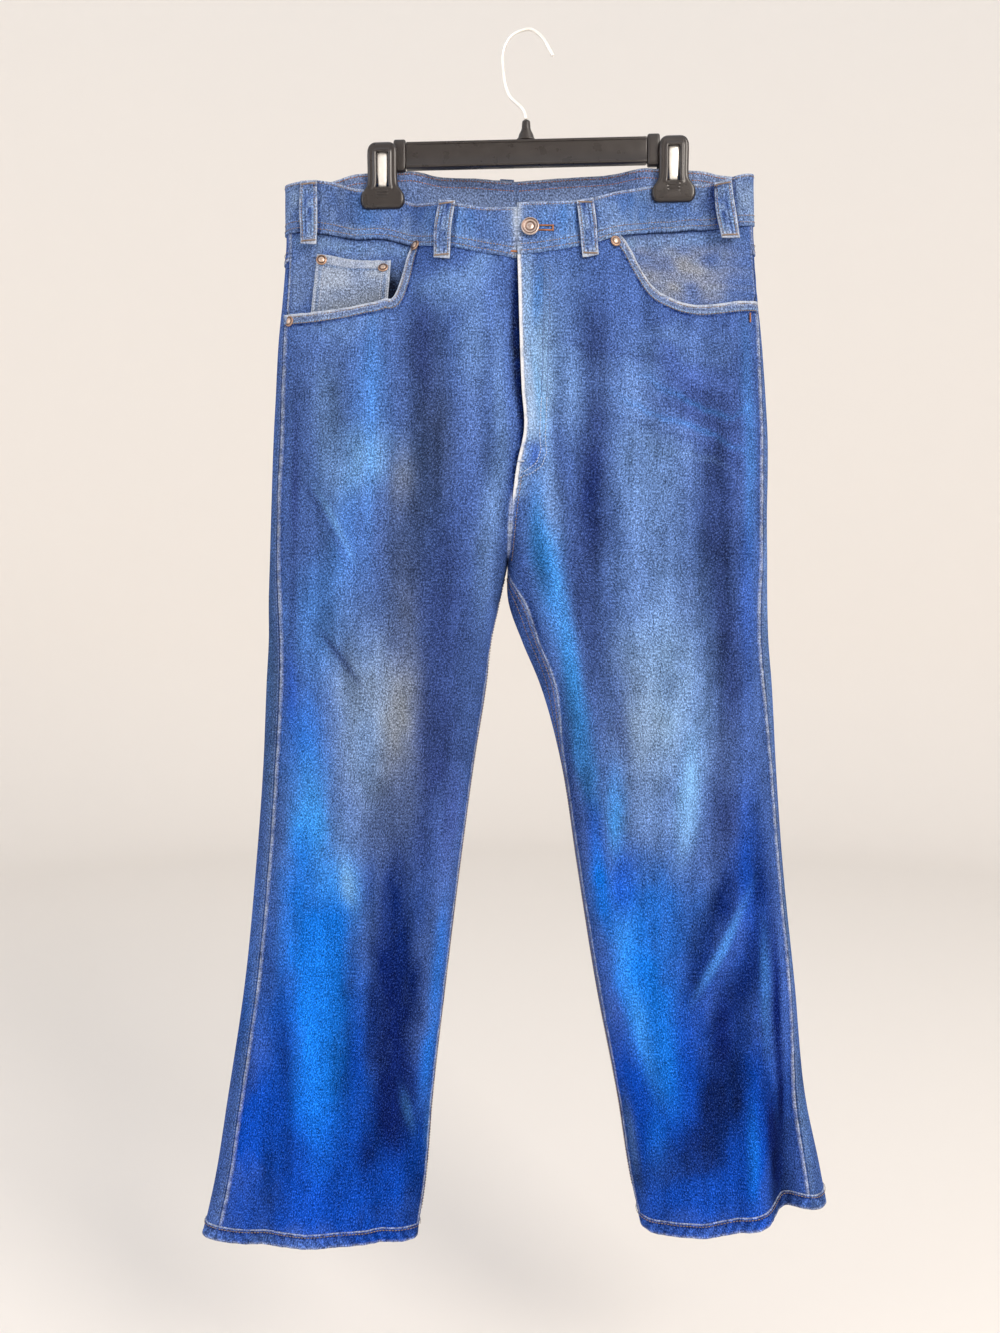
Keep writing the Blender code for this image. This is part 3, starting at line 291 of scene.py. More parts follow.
def smooth(share):
    """An even S from 0 to 1: 3 s^2 - 2 s^3."""
    share = np.clip(share, 0, 1)
    return share * share * (3 - 2 * share)


def power(value, exponent):
    """|value| ^ exponent with the sign of the value."""
    return np.sign(value) * np.abs(value) ** exponent


def unit(vectors):
    """Each vector over its own length."""
    return vectors / np.linalg.norm(vectors, axis=-1, keepdims=True)


def circle(count):
    """Angles of a closed ring."""
    return np.linspace(0, 2 * np.pi, count, endpoint=False)


def lengths_along(points):
    """How far each point of a path is from its start: the running sum of its steps."""
    return np.concatenate([[0], np.cumsum(np.linalg.norm(np.diff(points, axis=0), axis=1))])


NOISE_CELLS = 64
NOISE_SHIFT = (7.31, 3.77)  # cells to move by for another pattern
LATTICE = np.random.default_rng(7).uniform(-1, 1, (NOISE_CELLS, NOISE_CELLS))


def noise(a, b, size_a, size_b, shift=0.0):
    """Smooth noise from -1 to 1: random values at the corners of cells size_a by size_b, blended
    across each cell. shift moves to another part of the pattern."""
    a = np.asarray(a, float) / size_a + shift * NOISE_SHIFT[0]
    b = np.asarray(b, float) / size_b + shift * NOISE_SHIFT[1]
    i, j = np.floor(a).astype(int), np.floor(b).astype(int)
    u, v = smooth(a - i), smooth(b - j)
    i0, i1 = i % NOISE_CELLS, (i + 1) % NOISE_CELLS
    j0, j1 = j % NOISE_CELLS, (j + 1) % NOISE_CELLS
    low = LATTICE[i0, j0] * (1 - u) + LATTICE[i1, j0] * u
    high = LATTICE[i0, j1] * (1 - u) + LATTICE[i1, j1] * u
    return low * (1 - v) + high * v


print("Noise at a few places:", noise(np.arange(4.0), 0.0, 3.0, 1.0).round(2))

# %% The cloth's face


def section(side, name, z):
    """One size of a half at the height z."""
    rows = RIGHT_SECTIONS if side == "right" else LEFT_SECTIONS
    return table(rows, SECTION_COLUMNS, name, z)


SOFT_CLOSING = (-600.0, -400.0)  # heights over which a leg's inner face closes
CLOSING_EDGE = (0.5, 0.95)  # t over which its edge begins to follow the seam instead


def closing(t, z, hook):
    """1 where a leg is a closed tube and 0 where the two sides share one hollow. It changes
    sharply by the crotch's seams, and slowly over the rest of the cloth."""
    above = np.clip((np.asarray(z, float) - CROTCH_Z) / hook, 0, 1)
    sharp = 1 - above**HOOK_POWER
    low, high = SOFT_CLOSING
    soft = 1 - smooth((z - low) / (high - low))
    by_edge = smooth((np.abs(t) - CLOSING_EDGE[0]) / (CLOSING_EDGE[1] - CLOSING_EDGE[0]))
    return soft + (sharp - soft) * by_edge


WANDER = 0.35  # the share by which a crease's height comes and goes along it
SWAY = 0.4  # how far it strays from its line, in widths
WANDER_LENGTH, SWAY_LENGTH = 38.0, 55.0


def fold_height(rows, x, z, uneven):
    """How far the folds move the cloth out: height * fade * exp(-(distance / width)^2) for each
    fold, where distance is measured from its line and fade falls to 0 at its ends."""
    total = np.zeros(np.broadcast(x, z).shape)
    for number, (x0, z0, x1, z1, width, height, grows) in enumerate(rows):
        along_x, along_z = x1 - x0, z1 - z0
        length = math.hypot(along_x, along_z)
        share = ((x - x0) * along_x + (z - z0) * along_z) / length**2
        held = np.clip(share, 0, 1)
        fade = np.sin(np.pi / 2 * held) if grows else np.sin(np.pi * held)
        off_x = x - x0 - held * along_x
        off_z = z - z0 - held * along_z
        if uneven:
            wave = noise(held * length, np.zeros_like(held), WANDER_LENGTH, 1.0, number + 0.5)
            height_here = height * (1 + WANDER * wave)
            off_x = off_x + SWAY * width * noise(z, x * 0, SWAY_LENGTH, 1.0, number)
        else:
            height_here = height
        total = total + height_here * fade * np.exp(-(off_x**2 + off_z**2) / width**2)
    return total


def clip_grip(side, x, z):
    """1 where the clip presses the band flat, fading out round it and below it."""
    beside = np.maximum(np.abs(x - CLIP_X[side]) - CLIP_GRIP_HALF, 0) / CLIP_FADE_X
    below = np.maximum(CLIP_FOOT_Z[side] - z, 0) / CLIP_FADE_Z
    return np.exp(-(beside**2) - below**2)


# Size across and down and height of the soft unevenness of washed cloth, and how far away in the
# noise the front's is from the back's
RIPPLES = ((38.0, 90.0, 0.9), (16.0, 34.0, 0.30), (7.0, 11.0, 0.10))
FRONT_APART = 900


def cloth(side, t, z):
    """The outer face at t and z, with t = -1 at the front's inner edge, 0 at the side and 1 at the
    back's. With c = cos(a)^(2/n) and s = sin(a)^(2/n) for the angle a at t, x runs from outer to
    inner as (1 - c) / (1 - c_end), and y is face * s, then the clips, folds and ripples."""
    t, z = np.broadcast_arrays(np.asarray(t, float), np.asarray(z, float))
    t = np.where(t > 1, t - 2, t)
    front = t < 0
    close = np.where(front, closing(t, z, FRONT_HOOK), closing(t, z, BACK_HOOK))
    end = np.pi / 2 * (1 + close)
    angle = np.abs(t) * end
    flat = 2 / section(side, "square", z)
    outer = section(side, "outer", z)
    inner = section(side, "inner", z)
    across = (1 - power(np.cos(angle), flat)) / (1 - power(np.cos(end), flat))
    x = outer + (inner - outer) * across
    seam = SEAM_GAP / 2 * across * close
    x = x + (-seam if side == "right" else seam)
    middle = section(side, "side", z) * (1 - across)
    face = np.where(front, section(side, "front", z), section(side, "back", z))
    rise = np.abs(np.sin(angle)) ** flat
    depth = (face - middle) * rise
    grip = clip_grip(side, x, z)
    depth = depth * (1 - grip) + np.where(front, -1, 1) * CLIP_CLOTH_HALF * grip
    folds = np.where(
        front,
        -fold_height(FOLDS[side, "front"], x, z, 0) - fold_height(CREASES[side, "front"], x, z, 1),
        fold_height(FOLDS[side, "back"], x, z, 0) + fold_height(CREASES[side, "back"], x, z, 1),
    )
    for number, (size_x, size_z, height) in enumerate(RIPPLES):
        ripple = noise(x + FRONT_APART * front, z, size_x, size_z, number + 1.0)
        folds = folds + height * ripple * (1 - grip)
    depth = depth + folds * np.minimum(rise * 1.4, 1)
    if side == "right":
        in_fly = smooth((FLY_TOP_Z + 20 - z) / 20) * smooth((z - FLY_END_Z + 25) / 25)
        dip = FLY_DIP * np.exp(-(((x - inner) / FLY_DIP_WIDTH) ** 2)) * in_fly
        depth = depth + np.where(front, dip, 0)
    return np.stack([x, middle + depth, z], axis=-1)


def face_and_normal(side, t, z, step_t=3e-3, step_z=0.8):
    """The cloth's face and its outward direction, from the slopes of its two runs."""
    t, z = np.broadcast_arrays(np.asarray(t, float), np.asarray(z, float))
    held = np.clip(t, -1 + step_t, np.where(z > CROTCH_Z, 1 - step_t, 2))
    along_t = cloth(side, held + step_t, z) - cloth(side, held - step_t, z)
    along_z = cloth(side, held, z + step_z) - cloth(side, held, z - step_z)
    normal = np.cross(along_t, along_z)
    if side == "right":
        normal = -normal
    return cloth(side, t, z), unit(normal)


print("Middle of the right knee:", cloth("right", -0.5, -788.0).round(1))

# %% Rims and panel widths


def edge(rows, t):
    """The height of a rim at t, which runs on past the back's inner edge to the front's."""
    return table(rows, ("t", "z"), "z", np.where(np.asarray(t) > 1, t - 2, t))


def band_top(side, t):
    """The height of the band's upper edge."""
    return table(BAND_ROWS_OF[side], BAND_COLUMNS_OF, "top", t)


def waist_seam(side, t):
    """The seam under the band: its upper edge less its height there."""
    return band_top(side, t) - table(BAND_ROWS_OF[side], BAND_COLUMNS_OF, "height", t)


def hem_seam(side, t):
    """The upper edge of the turned-up hem."""
    return edge(HEM_Z[side], t) + HEM_HEIGHT


def runs(side, part, z):
    """Where a part begins and ends round the half, as t."""
    roll = section(side, "roll", z)
    in_roll = np.maximum(section(side, "in_roll", z), 0) * (z < CROTCH_Z)
    if part == "front":
        return -roll, -1 + in_roll
    if part == "back":
        return -roll, 1 + in_roll
    return -np.ones_like(z), np.ones_like(z)


LEVELS = np.linspace(-1155, -95, 160)
STEPS = np.linspace(0, 1, 161)
LAID_OUT = {}


def t_at(side, part, share, z):
    """t at a share of a part's own length at height z."""
    if (side, part) not in LAID_OUT:
        start, stop = runs(side, part, LEVELS)
        run = start[:, None] + (stop - start)[:, None] * STEPS
        lengths = np.linalg.norm(np.diff(cloth(side, run, LEVELS[:, None]), axis=1), axis=-1)
        along = np.concatenate([np.zeros((len(LEVELS), 1)), np.cumsum(lengths, axis=1)], axis=1)
        LAID_OUT[side, part] = np.array(
            [np.interp(STEPS * a[-1], a, r) for a, r in zip(along, run)]
        )
    grid = LAID_OUT[side, part]
    share, z = np.broadcast_arrays(np.asarray(share, float), np.asarray(z, float))
    row = np.clip((z - LEVELS[0]) / (LEVELS[1] - LEVELS[0]), 0, len(LEVELS) - 1.001)
    column = np.clip(share, 0, 1) * (len(STEPS) - 1.001)
    i, j = row.astype(int), column.astype(int)
    v, u = row - i, column - j
    return (
        grid[i, j] * (1 - u) * (1 - v)
        + grid[i, j + 1] * u * (1 - v)
        + grid[i + 1, j] * (1 - u) * v
        + grid[i + 1, j + 1] * u * v
    )


def t_at_x(side, x, z):
    """t of the front's point that lies at x."""
    front = np.linspace(-1, -0.02, 400)
    across = cloth(side, front, z)[:, 0]
    order = np.argsort(across)
    return np.interp(x, across[order], front[order])


print("Half way across the right front, t is", t_at("right", "front", 0.5, -788.0).round(3))

# %% [markdown]
# ## Dye, wear, painted shade and weave
#
# Denim is a twill of indigo warp over white weft. Indigo only coats the yarn, so rubbing bares the
# white core: over the knees, at pocket edges and along every seam. What the wash left bluest is on
# the lower legs. A colour attribute holds that slow change, painted by a table of soft patches. The
# same attribute also holds painted light: painted shade in the folds, beside seams and under edges,
# and painted highlights along the fold ridges. The shader adds the yarn's streaks and grain in real
# millimetres from the piece's UV map.

# %% Colours


def linear(hex_colour):
    """An sRGB hex colour as linear red, green and blue."""
    srgb = np.array([int(hex_colour[i : i + 2], 16) for i in (1, 3, 5)]) / 255
    return np.where(srgb <= 0.04045, srgb / 12.92, ((srgb + 0.055) / 1.055) ** 2.4)


LIT = 0.62  # lit cloth looks this much brighter than its dye, so the dyes are scaled down by it
# Colours of the cloth and its wear. The darkest blues and the near-black also serve as painted
# shade, and some bright blues serve as painted highlights.
SHADES = {
    "base": "#4a66a6", "hip": "#5671ab", "light": "#6f92ca", "pale": "#8ea6c8",
    "grey": "#7f91a6", "slate": "#44547c", "bright": "#4a8add", "sky": "#78abdf",
    "vivid": "#1472e0", "royal": "#1049b6", "navy": "#1c3c86", "violet": "#4457a0",
    "deep_shade": "#2f3f76", "ink_and_shade": "#0c2466", "white": "#d3dceb", "fleck": "#86b0ee",
    "trim": "#8395b8", "reverse": "#7288b0", "facing": "#7388ae", "ash": "#747c88",
    "chalk": "#a3afc2", "shadow_black": "#151a2b", "bone": "#f4f6fb", "azure": "#3f8fe0",
    "cobalt": "#0c48b8", "abyss_shade": "#0a1f66", "frost": "#88addb", "worn": "#4b6a98",
    "stone": "#8f949f",
}
DYES_AND_PAINTED_LIGHT = {name: linear(shade) * LIT for name, shade in SHADES.items()}
# Soft patches of colour on a face of the cloth, painted in this order, a row each: colour, x, z,
# half width, half height, tilt in degrees and amount, which over 1 fills the middle of a patch.
# Some are the wash's fades and the bluer lower legs. Many of the dark patches and the thin dark
# strokes are painted shade in the folds, beside the fly and on the shaded sides of the legs. The
# thin bright strokes are painted highlights along the fold ridges.
PATCHES = {
    ("right", "front"): (
        ("hip", -183, -344, 54, 82, 0, 0.6), ("light", -174, -298, 40, 18, 0, 0.45),
        ("cobalt", -183, -1051, 118, 82, 0, 1.35), ("cobalt", -210, -961, 54, 54, 0, 0.7),
        ("slate", -92, -380, 24, 109, 0, 0.75), ("deep_shade", -97, -317, 14, 54, 0, 0.75),
        ("light", -189, -367, 14, 45, 0, 0.5), ("bright", -150, -357, 18, 54, 0, 0.42),
        ("light", -48, -308, 15, 54, 0, 0.7), ("light", -28, -371, 7, 82, 0, 0.6),
        ("sky", -159, -429, 33, 33, 10, 0.6), ("light", -182, -435, 12, 58, 0, 0.6),
        ("ash", -117, -435, 11, 31, 0, 0.5), ("slate", -112, -521, 20, 76, -4, 0.7),
        ("hip", -52, -389, 15, 54, 0, 0.5), ("bright", -169, -493, 24, 45, 0, 0.45),
        ("bright", -146, -389, 6, 109, 0, 0.3), ("light", -38, -480, 10, 73, -4, 0.7),
        ("deep_shade", -77, -562, 24, 118, -6, 0.85), ("bright", -195, -560, 31, 42, 0, 0.45),
        ("deep_shade", -82, -666, 25, 82, -8, 0.9), ("light", -155, -580, 36, 33, 0, 0.45),
        ("vivid", -210, -675, 20, 63, -3, 0.55), ("light", -165, -652, 33, 73, 0, 0.6),
        ("grey", -148, -645, 31, 82, 0, 0.7), ("ash", -119, -639, 20, 83, -4, 0.85),
        ("slate", -121, -574, 15, 25, 0, 0.85), ("light", -152, -672, 14, 42, 0, 0.5),
        ("azure", -208, -747, 20, 54, -3, 0.9), ("azure", -181, -802, 27, 40, 0, 0.9),
        ("vivid", -217, -806, 16, 54, -3, 0.8), ("vivid", -195, -893, 38, 100, -4, 1.2),
        ("vivid", -183, -979, 31, 63, 0, 0.9), ("light", -170, -754, 18, 27, 8, 0.35),
        ("sky", -168, -799, 9, 24, 10, 0.55), ("slate", -119, -738, 22, 54, -5, 0.85),
        ("ink_and_shade", -123, -811, 14, 47, -5, 0.95), ("ink_and_shade", -121, -884, 23, 82, -5, 1.05),
        ("abyss_shade", -132, -952, 18, 82, -2, 1.0), ("abyss_shade", -126, -1015, 18, 42, 0, 0.9),
        ("cobalt", -161, -952, 13, 73, 0, 0.75), ("cobalt", -165, -1015, 16, 45, 0, 0.7),
        ("royal", -232, -942, 13, 54, 0, 0.7), ("ink_and_shade", -227, -983, 7, 40, 0, 0.5),
        ("cobalt", -237, -1015, 20, 45, 0, 0.8), ("vivid", -87, -897, 7, 73, -6, 0.6),
        ("vivid", -97, -970, 7, 45, -6, 0.5), ("bright", -115, -1013, 4, 24, 14, 0.45),
        ("ink_and_shade", -146, -923, 9, 42, -4, 0.9), ("navy", -146, -802, 7, 27, -4, 0.5),
        ("abyss_shade", -121, -979, 11, 27, 0, 0.7), ("abyss_shade", -152, -1056, 9, 25, 0, 0.8),
        ("ink_and_shade", -218, -1062, 9, 22, 0, 0.6), ("vivid", -196, -1051, 15, 36, 0, 0.45),
        ("cobalt", -133, -1080, 27, 24, 0, 1.0), ("royal", -214, -1079, 33, 27, 0, 0.7),
        ("cobalt", -183, -1120, 118, 20, 0, 0.9), ("navy", -94, -797, 14, 54, -8, 0.5),
        ("violet", -72, -743, 9, 54, -6, 0.5), ("deep_shade", -94, -763, 11, 33, -6, 0.6),
        ("navy", -244, -893, 7, 69, -4, 0.6), ("bright", -94, -1035, 5, 36, -4, 0.6),
        ("light", -67, -250, 34, 20, 0, 0.6), ("deep_shade", -186, -475, 3, 40, 30, 0.7),
        ("deep_shade", -175, -593, 3, 31, 38, 0.7), ("sky", -180, -471, 3, 36, 30, 0.45),
        ("deep_shade", -218, -425, 5, 82, 0, 0.7), ("shadow_black", -12, -298, 5, 45, 2, 1.4),
        ("shadow_black", -9, -355, 5, 42, 3, 1.5), ("frost", -32, -210, 9, 18, 0, 0.5),
        ("deep_shade", -219, -552, 5, 45, 0, 0.5), ("royal", -221, -625, 7, 36, 0, 0.4),
        ("light", -63, -237, 40, 13, 0, 0.6),
    ),
    ("left", "front"): (
        ("violet", 153, -380, 73, 100, 0, 0.5), ("cobalt", 144, -1033, 109, 109, 0, 1.3),
        ("royal", 153, -897, 82, 82, 0, 0.6), ("royal", 200, -797, 20, 87, 0, 0.8),
        ("light", 22, -308, 22, 73, 0, 0.62), ("frost", 11, -344, 11, 76, 0, 1.0),
        ("light", 40, -362, 14, 42, 0, 0.7), ("deep_shade", 60, -306, 14, 40, 0, 0.75),
        ("slate", 64, -362, 11, 33, 0, 0.3), ("light", 91, -355, 27, 54, 0, 0.5),
        ("light", 108, -433, 33, 49, -6, 0.7), ("light", 144, -294, 45, 11, 0, 0.4),
        ("deep_shade", 59, -451, 15, 100, -2, 1.0), ("bright", 201, -398, 7, 109, 0, 0.45),
        ("light", 111, -507, 31, 91, 0, 0.6), ("deep_shade", 171, -453, 15, 54, 0, 0.7),
        ("deep_shade", 175, -543, 16, 100, 2, 0.85), ("ink_and_shade", 57, -457, 10, 42, -4, 0.5),
        ("hip", 142, -547, 12, 27, 0, 0.6), ("azure", 18, -512, 13, 63, 9, 1.0),
        ("light", 20, -451, 10, 44, 6, 0.8), ("deep_shade", 50, -552, 15, 82, 10, 0.6),
        ("light", 100, -562, 20, 45, 0, 0.4), ("royal", 198, -552, 9, 82, 0, 0.4),
        ("azure", 38, -616, 8, 63, 9, 0.9), ("frost", 118, -634, 36, 78, 3, 0.85),
        ("grey", 98, -652, 22, 63, 5, 0.45), ("light", 157, -666, 16, 45, 0, 0.7),
        ("deep_shade", 80, -656, 7, 31, 6, 0.5), ("deep_shade", 182, -625, 14, 54, 0, 0.8),
        ("slate", 178, -689, 13, 36, 0, 0.5), ("azure", 50, -685, 10, 54, 10, 0.85),
        ("sky", 142, -725, 11, 51, -6, 0.75), ("light", 108, -734, 27, 54, 6, 0.5),
        ("azure", 79, -738, 9, 42, 4, 0.75), ("royal", 59, -757, 11, 36, 8, 0.6),
        ("deep_shade", 176, -743, 16, 40, 0, 0.8), ("vivid", 66, -806, 9, 45, 8, 0.9),
        ("vivid", 109, -815, 38, 42, 0, 0.7), ("azure", 93, -870, 12, 51, 6, 0.9),
        ("vivid", 112, -893, 25, 63, 8, 1.0), ("ink_and_shade", 173, -817, 15, 36, -16, 1.0),
        ("ink_and_shade", 154, -870, 10, 42, -12, 1.0), ("ink_and_shade", 211, -820, 10, 63, 0, 0.9),
        ("ink_and_shade", 196, -893, 14, 42, -18, 1.05), ("bright", 174, -861, 5, 45, -27, 0.75),
        ("royal", 88, -801, 13, 33, 0, 0.8), ("navy", 146, -859, 13, 40, 0, 0.6),
        ("ink_and_shade", 201, -857, 9, 22, 0, 0.9), ("azure", 108, -947, 11, 54, 14, 0.6),
        ("vivid", 124, -961, 14, 54, 10, 0.9), ("abyss_shade", 178, -947, 13, 51, 0, 1.2),
        ("ink_and_shade", 171, -1006, 18, 49, 0, 1.1), ("ink_and_shade", 196, -933, 9, 54, 0, 0.6),
        ("bright", 217, -906, 5, 54, 3, 0.45), ("cobalt", 142, -961, 10, 45, 0, 0.6),
        ("ink_and_shade", 191, -999, 9, 36, 0, 0.9), ("ink_and_shade", 157, -1065, 20, 36, 0, 1.1),
        ("vivid", 118, -1051, 11, 36, 0, 0.4), ("worn", 95, -1060, 6, 54, 8, 0.8),
        ("vivid", 205, -1056, 6, 42, 0, 0.5), ("abyss_shade", 231, -961, 5, 127, 3, 1.1),
        ("abyss_shade", 227, -1051, 9, 51, 8, 1.3), ("navy", 120, -1084, 36, 22, 0, 0.8),
        ("royal", 153, -1109, 82, 16, 0, 0.8), ("bright", 153, -355, 49, 4, -12, 0.45),
        ("bright", 144, -389, 54, 4, -14, 0.4), ("light", 128, -425, 45, 4, -10, 0.35),
        ("deep_shade", 153, -371, 49, 4, -12, 0.4), ("deep_shade", 144, -407, 51, 4, -12, 0.4),
        ("deep_shade", 26, -425, 8, 54, 0, 0.35), ("ink_and_shade", 4, -562, 4, 54, 14, 0.5),
        ("deep_shade", 40, -725, 5, 109, 5, 0.6), ("pale", -4, -298, 6, 76, 0, 0.6),
        ("frost", 0, -367, 9, 44, 0, 1.1), ("white", -2, -355, 5, 42, 3, 0.5),
        ("deep_shade", 108, -328, 82, 6, -6, 0.4), ("sky", 8, -362, 4, 36, 8, 0.7),
        ("cobalt", 0, -412, 8, 11, 0, 0.9), ("bright", 6, -271, 6, 24, 0, 0.6),
        ("frost", -3, -289, 5, 36, 0, 0.5),
    ),
    ("right", "back"): (
        ("worn", -241, -620, 13, 200, 2, 0.95), ("worn", -264, -960, 14, 190, 4, 0.6),
        ("royal", -262, -990, 16, 150, 4, 0.35), ("hip", -130, -400, 80, 110, 0, 0.6),
        ("light", -130, -390, 60, 70, 0, 0.6), ("grey", -125, -440, 46, 36, 0, 0.5),
        ("deep_shade", -60, -505, 60, 8, -30, 0.6), ("deep_shade", -150, -560, 60, 6, -20, 0.5),
        ("light", -150, -640, 40, 60, 0, 0.4), ("deep_shade", -150, -700, 60, 5, -15, 0.6),
        ("deep_shade", -160, -735, 60, 5, 12, 0.6), ("light", -150, -717, 50, 4, -3, 0.5),
        ("vivid", -190, -960, 56, 150, 0, 0.9), ("royal", -205, -1090, 70, 60, 0, 0.7),
        ("ink_and_shade", -120, -960, 24, 160, 6, 0.8), ("navy", -228, -900, 12, 200, -4, 0.7),
        ("deep_shade", -226, -600, 18, 160, 0, 0.6),
    ),
    ("left", "back"): (
        ("light", 216, -620, 12, 220, -2, 0.8), ("worn", 232, -900, 12, 120, -4, 0.8),
        ("worn", 248, -1080, 16, 80, -6, 0.95), ("hip", 110, -400, 80, 110, 0, 0.6),
        ("light", 110, -390, 60, 70, 0, 0.6), ("grey", 105, -440, 46, 36, 0, 0.5),
        ("deep_shade", 40, -505, 60, 8, 30, 0.6), ("deep_shade", 120, -560, 60, 6, 20, 0.5),
        ("light", 130, -640, 40, 60, 0, 0.4), ("deep_shade", 130, -700, 60, 5, 15, 0.6),
        ("deep_shade", 140, -735, 60, 5, -12, 0.6), ("light", 130, -717, 50, 4, 3, 0.5),
        ("vivid", 150, -950, 52, 150, 0, 0.85), ("royal", 170, -1080, 70, 60, 0, 0.7),
        ("ink_and_shade", 96, -960, 24, 160, -6, 0.8), ("navy", 205, -900, 12, 200, 4, 0.7),
        ("deep_shade", 206, -600, 18, 160, 0, 0.6),
    ),
}
PATCH_EDGE = 1.25  # over 1 makes a patch flatter in its middle
WARP = (  # how outlines wander: the wave's size across and down, and its reach
    (60.0, 90.0, 15.0), (22.0, 34.0, 6.0), (8.0, 14.0, 2.2),
)
SMALL_PATCH = 42.0  # a patch with a smaller half width wanders less
STREAKS = (  # uneven dye that follows the warp: size across and down, share, place in the noise
    (6.0, 110.0, 0.15, 23.0), (16.0, 48.0, 0.16, 24.0), (8.0, 12.0, 0.12, 25.0),
)
# The first is how much lighter crease ridges are made, partly as wear and partly as painted
# highlight, and how much darker their troughs are made as painted shade.
CREASE_WEAR_AND_SHADE, FOLD_SHARE, DRIFT_SHARE = 0.30, 0.4, 0.35
DASH_LENGTH, DASH_SHARE = 5.5, 0.38  # a worn edge comes and goes with the puckers of its seam


def paint(side, face, x, z):
    """The colour at (x, z): each patch blends its colour in by amount * exp(-(d^2)^edge), where d
    is the distance from its centre in half sizes. Noise bends the patches' outlines. The ridges of
    the creases are made lighter, partly as rubbed wear and partly as painted highlight, and their
    troughs darker as painted shade."""
    colour = dyed(x.shape, "base")
    bent_x, bent_z = x, z
    for number, (size_x, size_z, reach) in enumerate(WARP):
        bent_x = bent_x + reach * noise(x, z, size_x, size_z, 11.0 + number)
        bent_z = bent_z + 1.6 * reach * noise(x, z, size_x, size_z, 14.0 + number)
    drift = noise(x, z, 26.0, 44.0, 17.0) * 0.6 + noise(x, z, 7.0, 16.0, 18.0) * 0.4
    for dye_and_painted_light, x0, z0, half_width, half_height, tilt, amount in PATCHES[side, face]:
        turn = math.radians(tilt)
        small = min(half_width / SMALL_PATCH, 1)
        dx = x + (bent_x - x) * small - x0
        dz = z + (bent_z - z) * small - z0
        a = (dx * math.cos(turn) + dz * math.sin(turn)) / half_width
        b = (dz * math.cos(turn) - dx * math.sin(turn)) / half_height
        share = amount * np.exp(-((a * a + b * b) ** PATCH_EDGE))
        colour = blend(colour, share * (1 + DRIFT_SHARE * drift), dye_and_painted_light)
    streaks = sum(share * noise(x, z, across, down, at) for across, down, share, at in STREAKS)
    crease = fold_height(CREASES[side, face], x, z, 1)
    crease = crease + FOLD_SHARE * fold_height(FOLDS[side, face], x, z, 0)
    return colour * (1 + CREASE_WEAR_AND_SHADE * np.tanh(crease / 2.0) + streaks)[..., None]


def blend(colour, share, dye_and_painted_light):
    """A dye over a colour: colour * (1 - share) + dye * share, for a share from 0 to 1."""
    share = np.clip(share, 0, 1)[..., None]
    return colour * (1 - share) + DYES_AND_PAINTED_LIGHT[dye_and_painted_light] * share


def dyed(shape, dye_and_painted_light):
    """One dye over a whole grid: 1 times the dye at each point."""
    return np.ones((*shape, 3)) * DYES_AND_PAINTED_LIGHT[dye_and_painted_light]


def edge_wear_and_shade(colour, distance, width, amount, along, dye_and_painted_light="white"):
    """Blends a colour along an edge in dashes, by amount * exp(-(distance / width)^2). Pale colours
    wear an edge pale, and dark ones paint shade beside seams and under edges.
    """
    dashes = 1 - DASH_SHARE + DASH_SHARE * noise(along, distance * 0, DASH_LENGTH, 1.0, 21.0)
    return blend(colour, amount * np.exp(-((distance / width) ** 2)) * dashes, dye_and_painted_light)


print("Dyes:", len(DYES_AND_PAINTED_LIGHT), "and patches:", sum(len(rows) for rows in PATCHES.values()))

# %% [markdown]
# ## Materials
#
# Each material starts from what the real one is and how its surface was made. One function adds a
# node with its settings and links. Denim is dull because its yarns scatter the light many ways.
# Moulded polypropylene copies its steel mould, so it is smooth and satin. Copper plate on the
# rivets was tumbled to look old, and the spring strip came bright from the rolling mill.

# %% Materials


def node(tree, kind, settings=None, inputs=None):
    """Adds a node, sets its properties, and sets or links its inputs, which are a dictionary by
    socket or a tuple in socket order."""
    made = tree.nodes.new(kind)
    for name, value in (settings or {}).items():
        setattr(made, name, value)
    pairs = inputs.items() if isinstance(inputs, dict) else enumerate(inputs or ())
    for name, value in pairs:
        if isinstance(value, bpy.types.NodeSocket):
            tree.links.new(value, made.inputs[name])
        else:
            made.inputs[name].default_value = value
    return made


def new_material(name):
    """An empty material, its node tree and its output."""
    material = bpy.data.materials.new(name)
    material.use_nodes = True
    material.node_tree.nodes.clear()
    tree = material.node_tree
    output = node(tree, "ShaderNodeOutputMaterial")
    return material, tree, output


def shown(material, tree, output, shader):
    """The material, with its shader joined to the output."""
    tree.links.new(shader.outputs["BSDF"], output.inputs["Surface"])
    return material


# Each grain of the cloth: its size across and down the cloth in millimetres, its detail and its
# roughness, the lowest level of noise that counts, and its share of the tone. Real yarn is 0.7 mm
# thick, finer than a pixel of the picture, so the crossings are drawn twice as coarse to show.
GRAINS = {
    "speck": (1.5, 1.9, 2.0, 0.75, 0.34, 0.0),  # single crossings of warp over weft
    "slub": (2.4, 9.0, 2.0, 0.60, 0.34, 0.14),  # thick places in a warp yarn
    "streak": (2.2, 34.0, 2.0, 0.60, 0.30, 0.14),  # warp yarns that took more of the dye
    "blotch": (9.0, 13.0, 3.0, 0.65, 0.30, 0.13),  # wear a fingertip wide
}
WALE_SCALE, WALE_SHARE = 0.36, 0.07  # twill wales, 1 mm apart in life, drawn 2.8 mm apart
WALE_SLANT = 62  # degrees: the wales climb to the right
SPECK_POWER = 1.8  # over 1 makes a few bright flecks on an even ground
SPECK_TONES = (0.48, 2.40)
BARE_FROM, BARE_MOST = (0.20, 0.42), 0.85  # yarn rubbed this pale has lost its grain
WEFT_SHOWS = 0.14  # most of the undyed weft that is seen between warp yarns


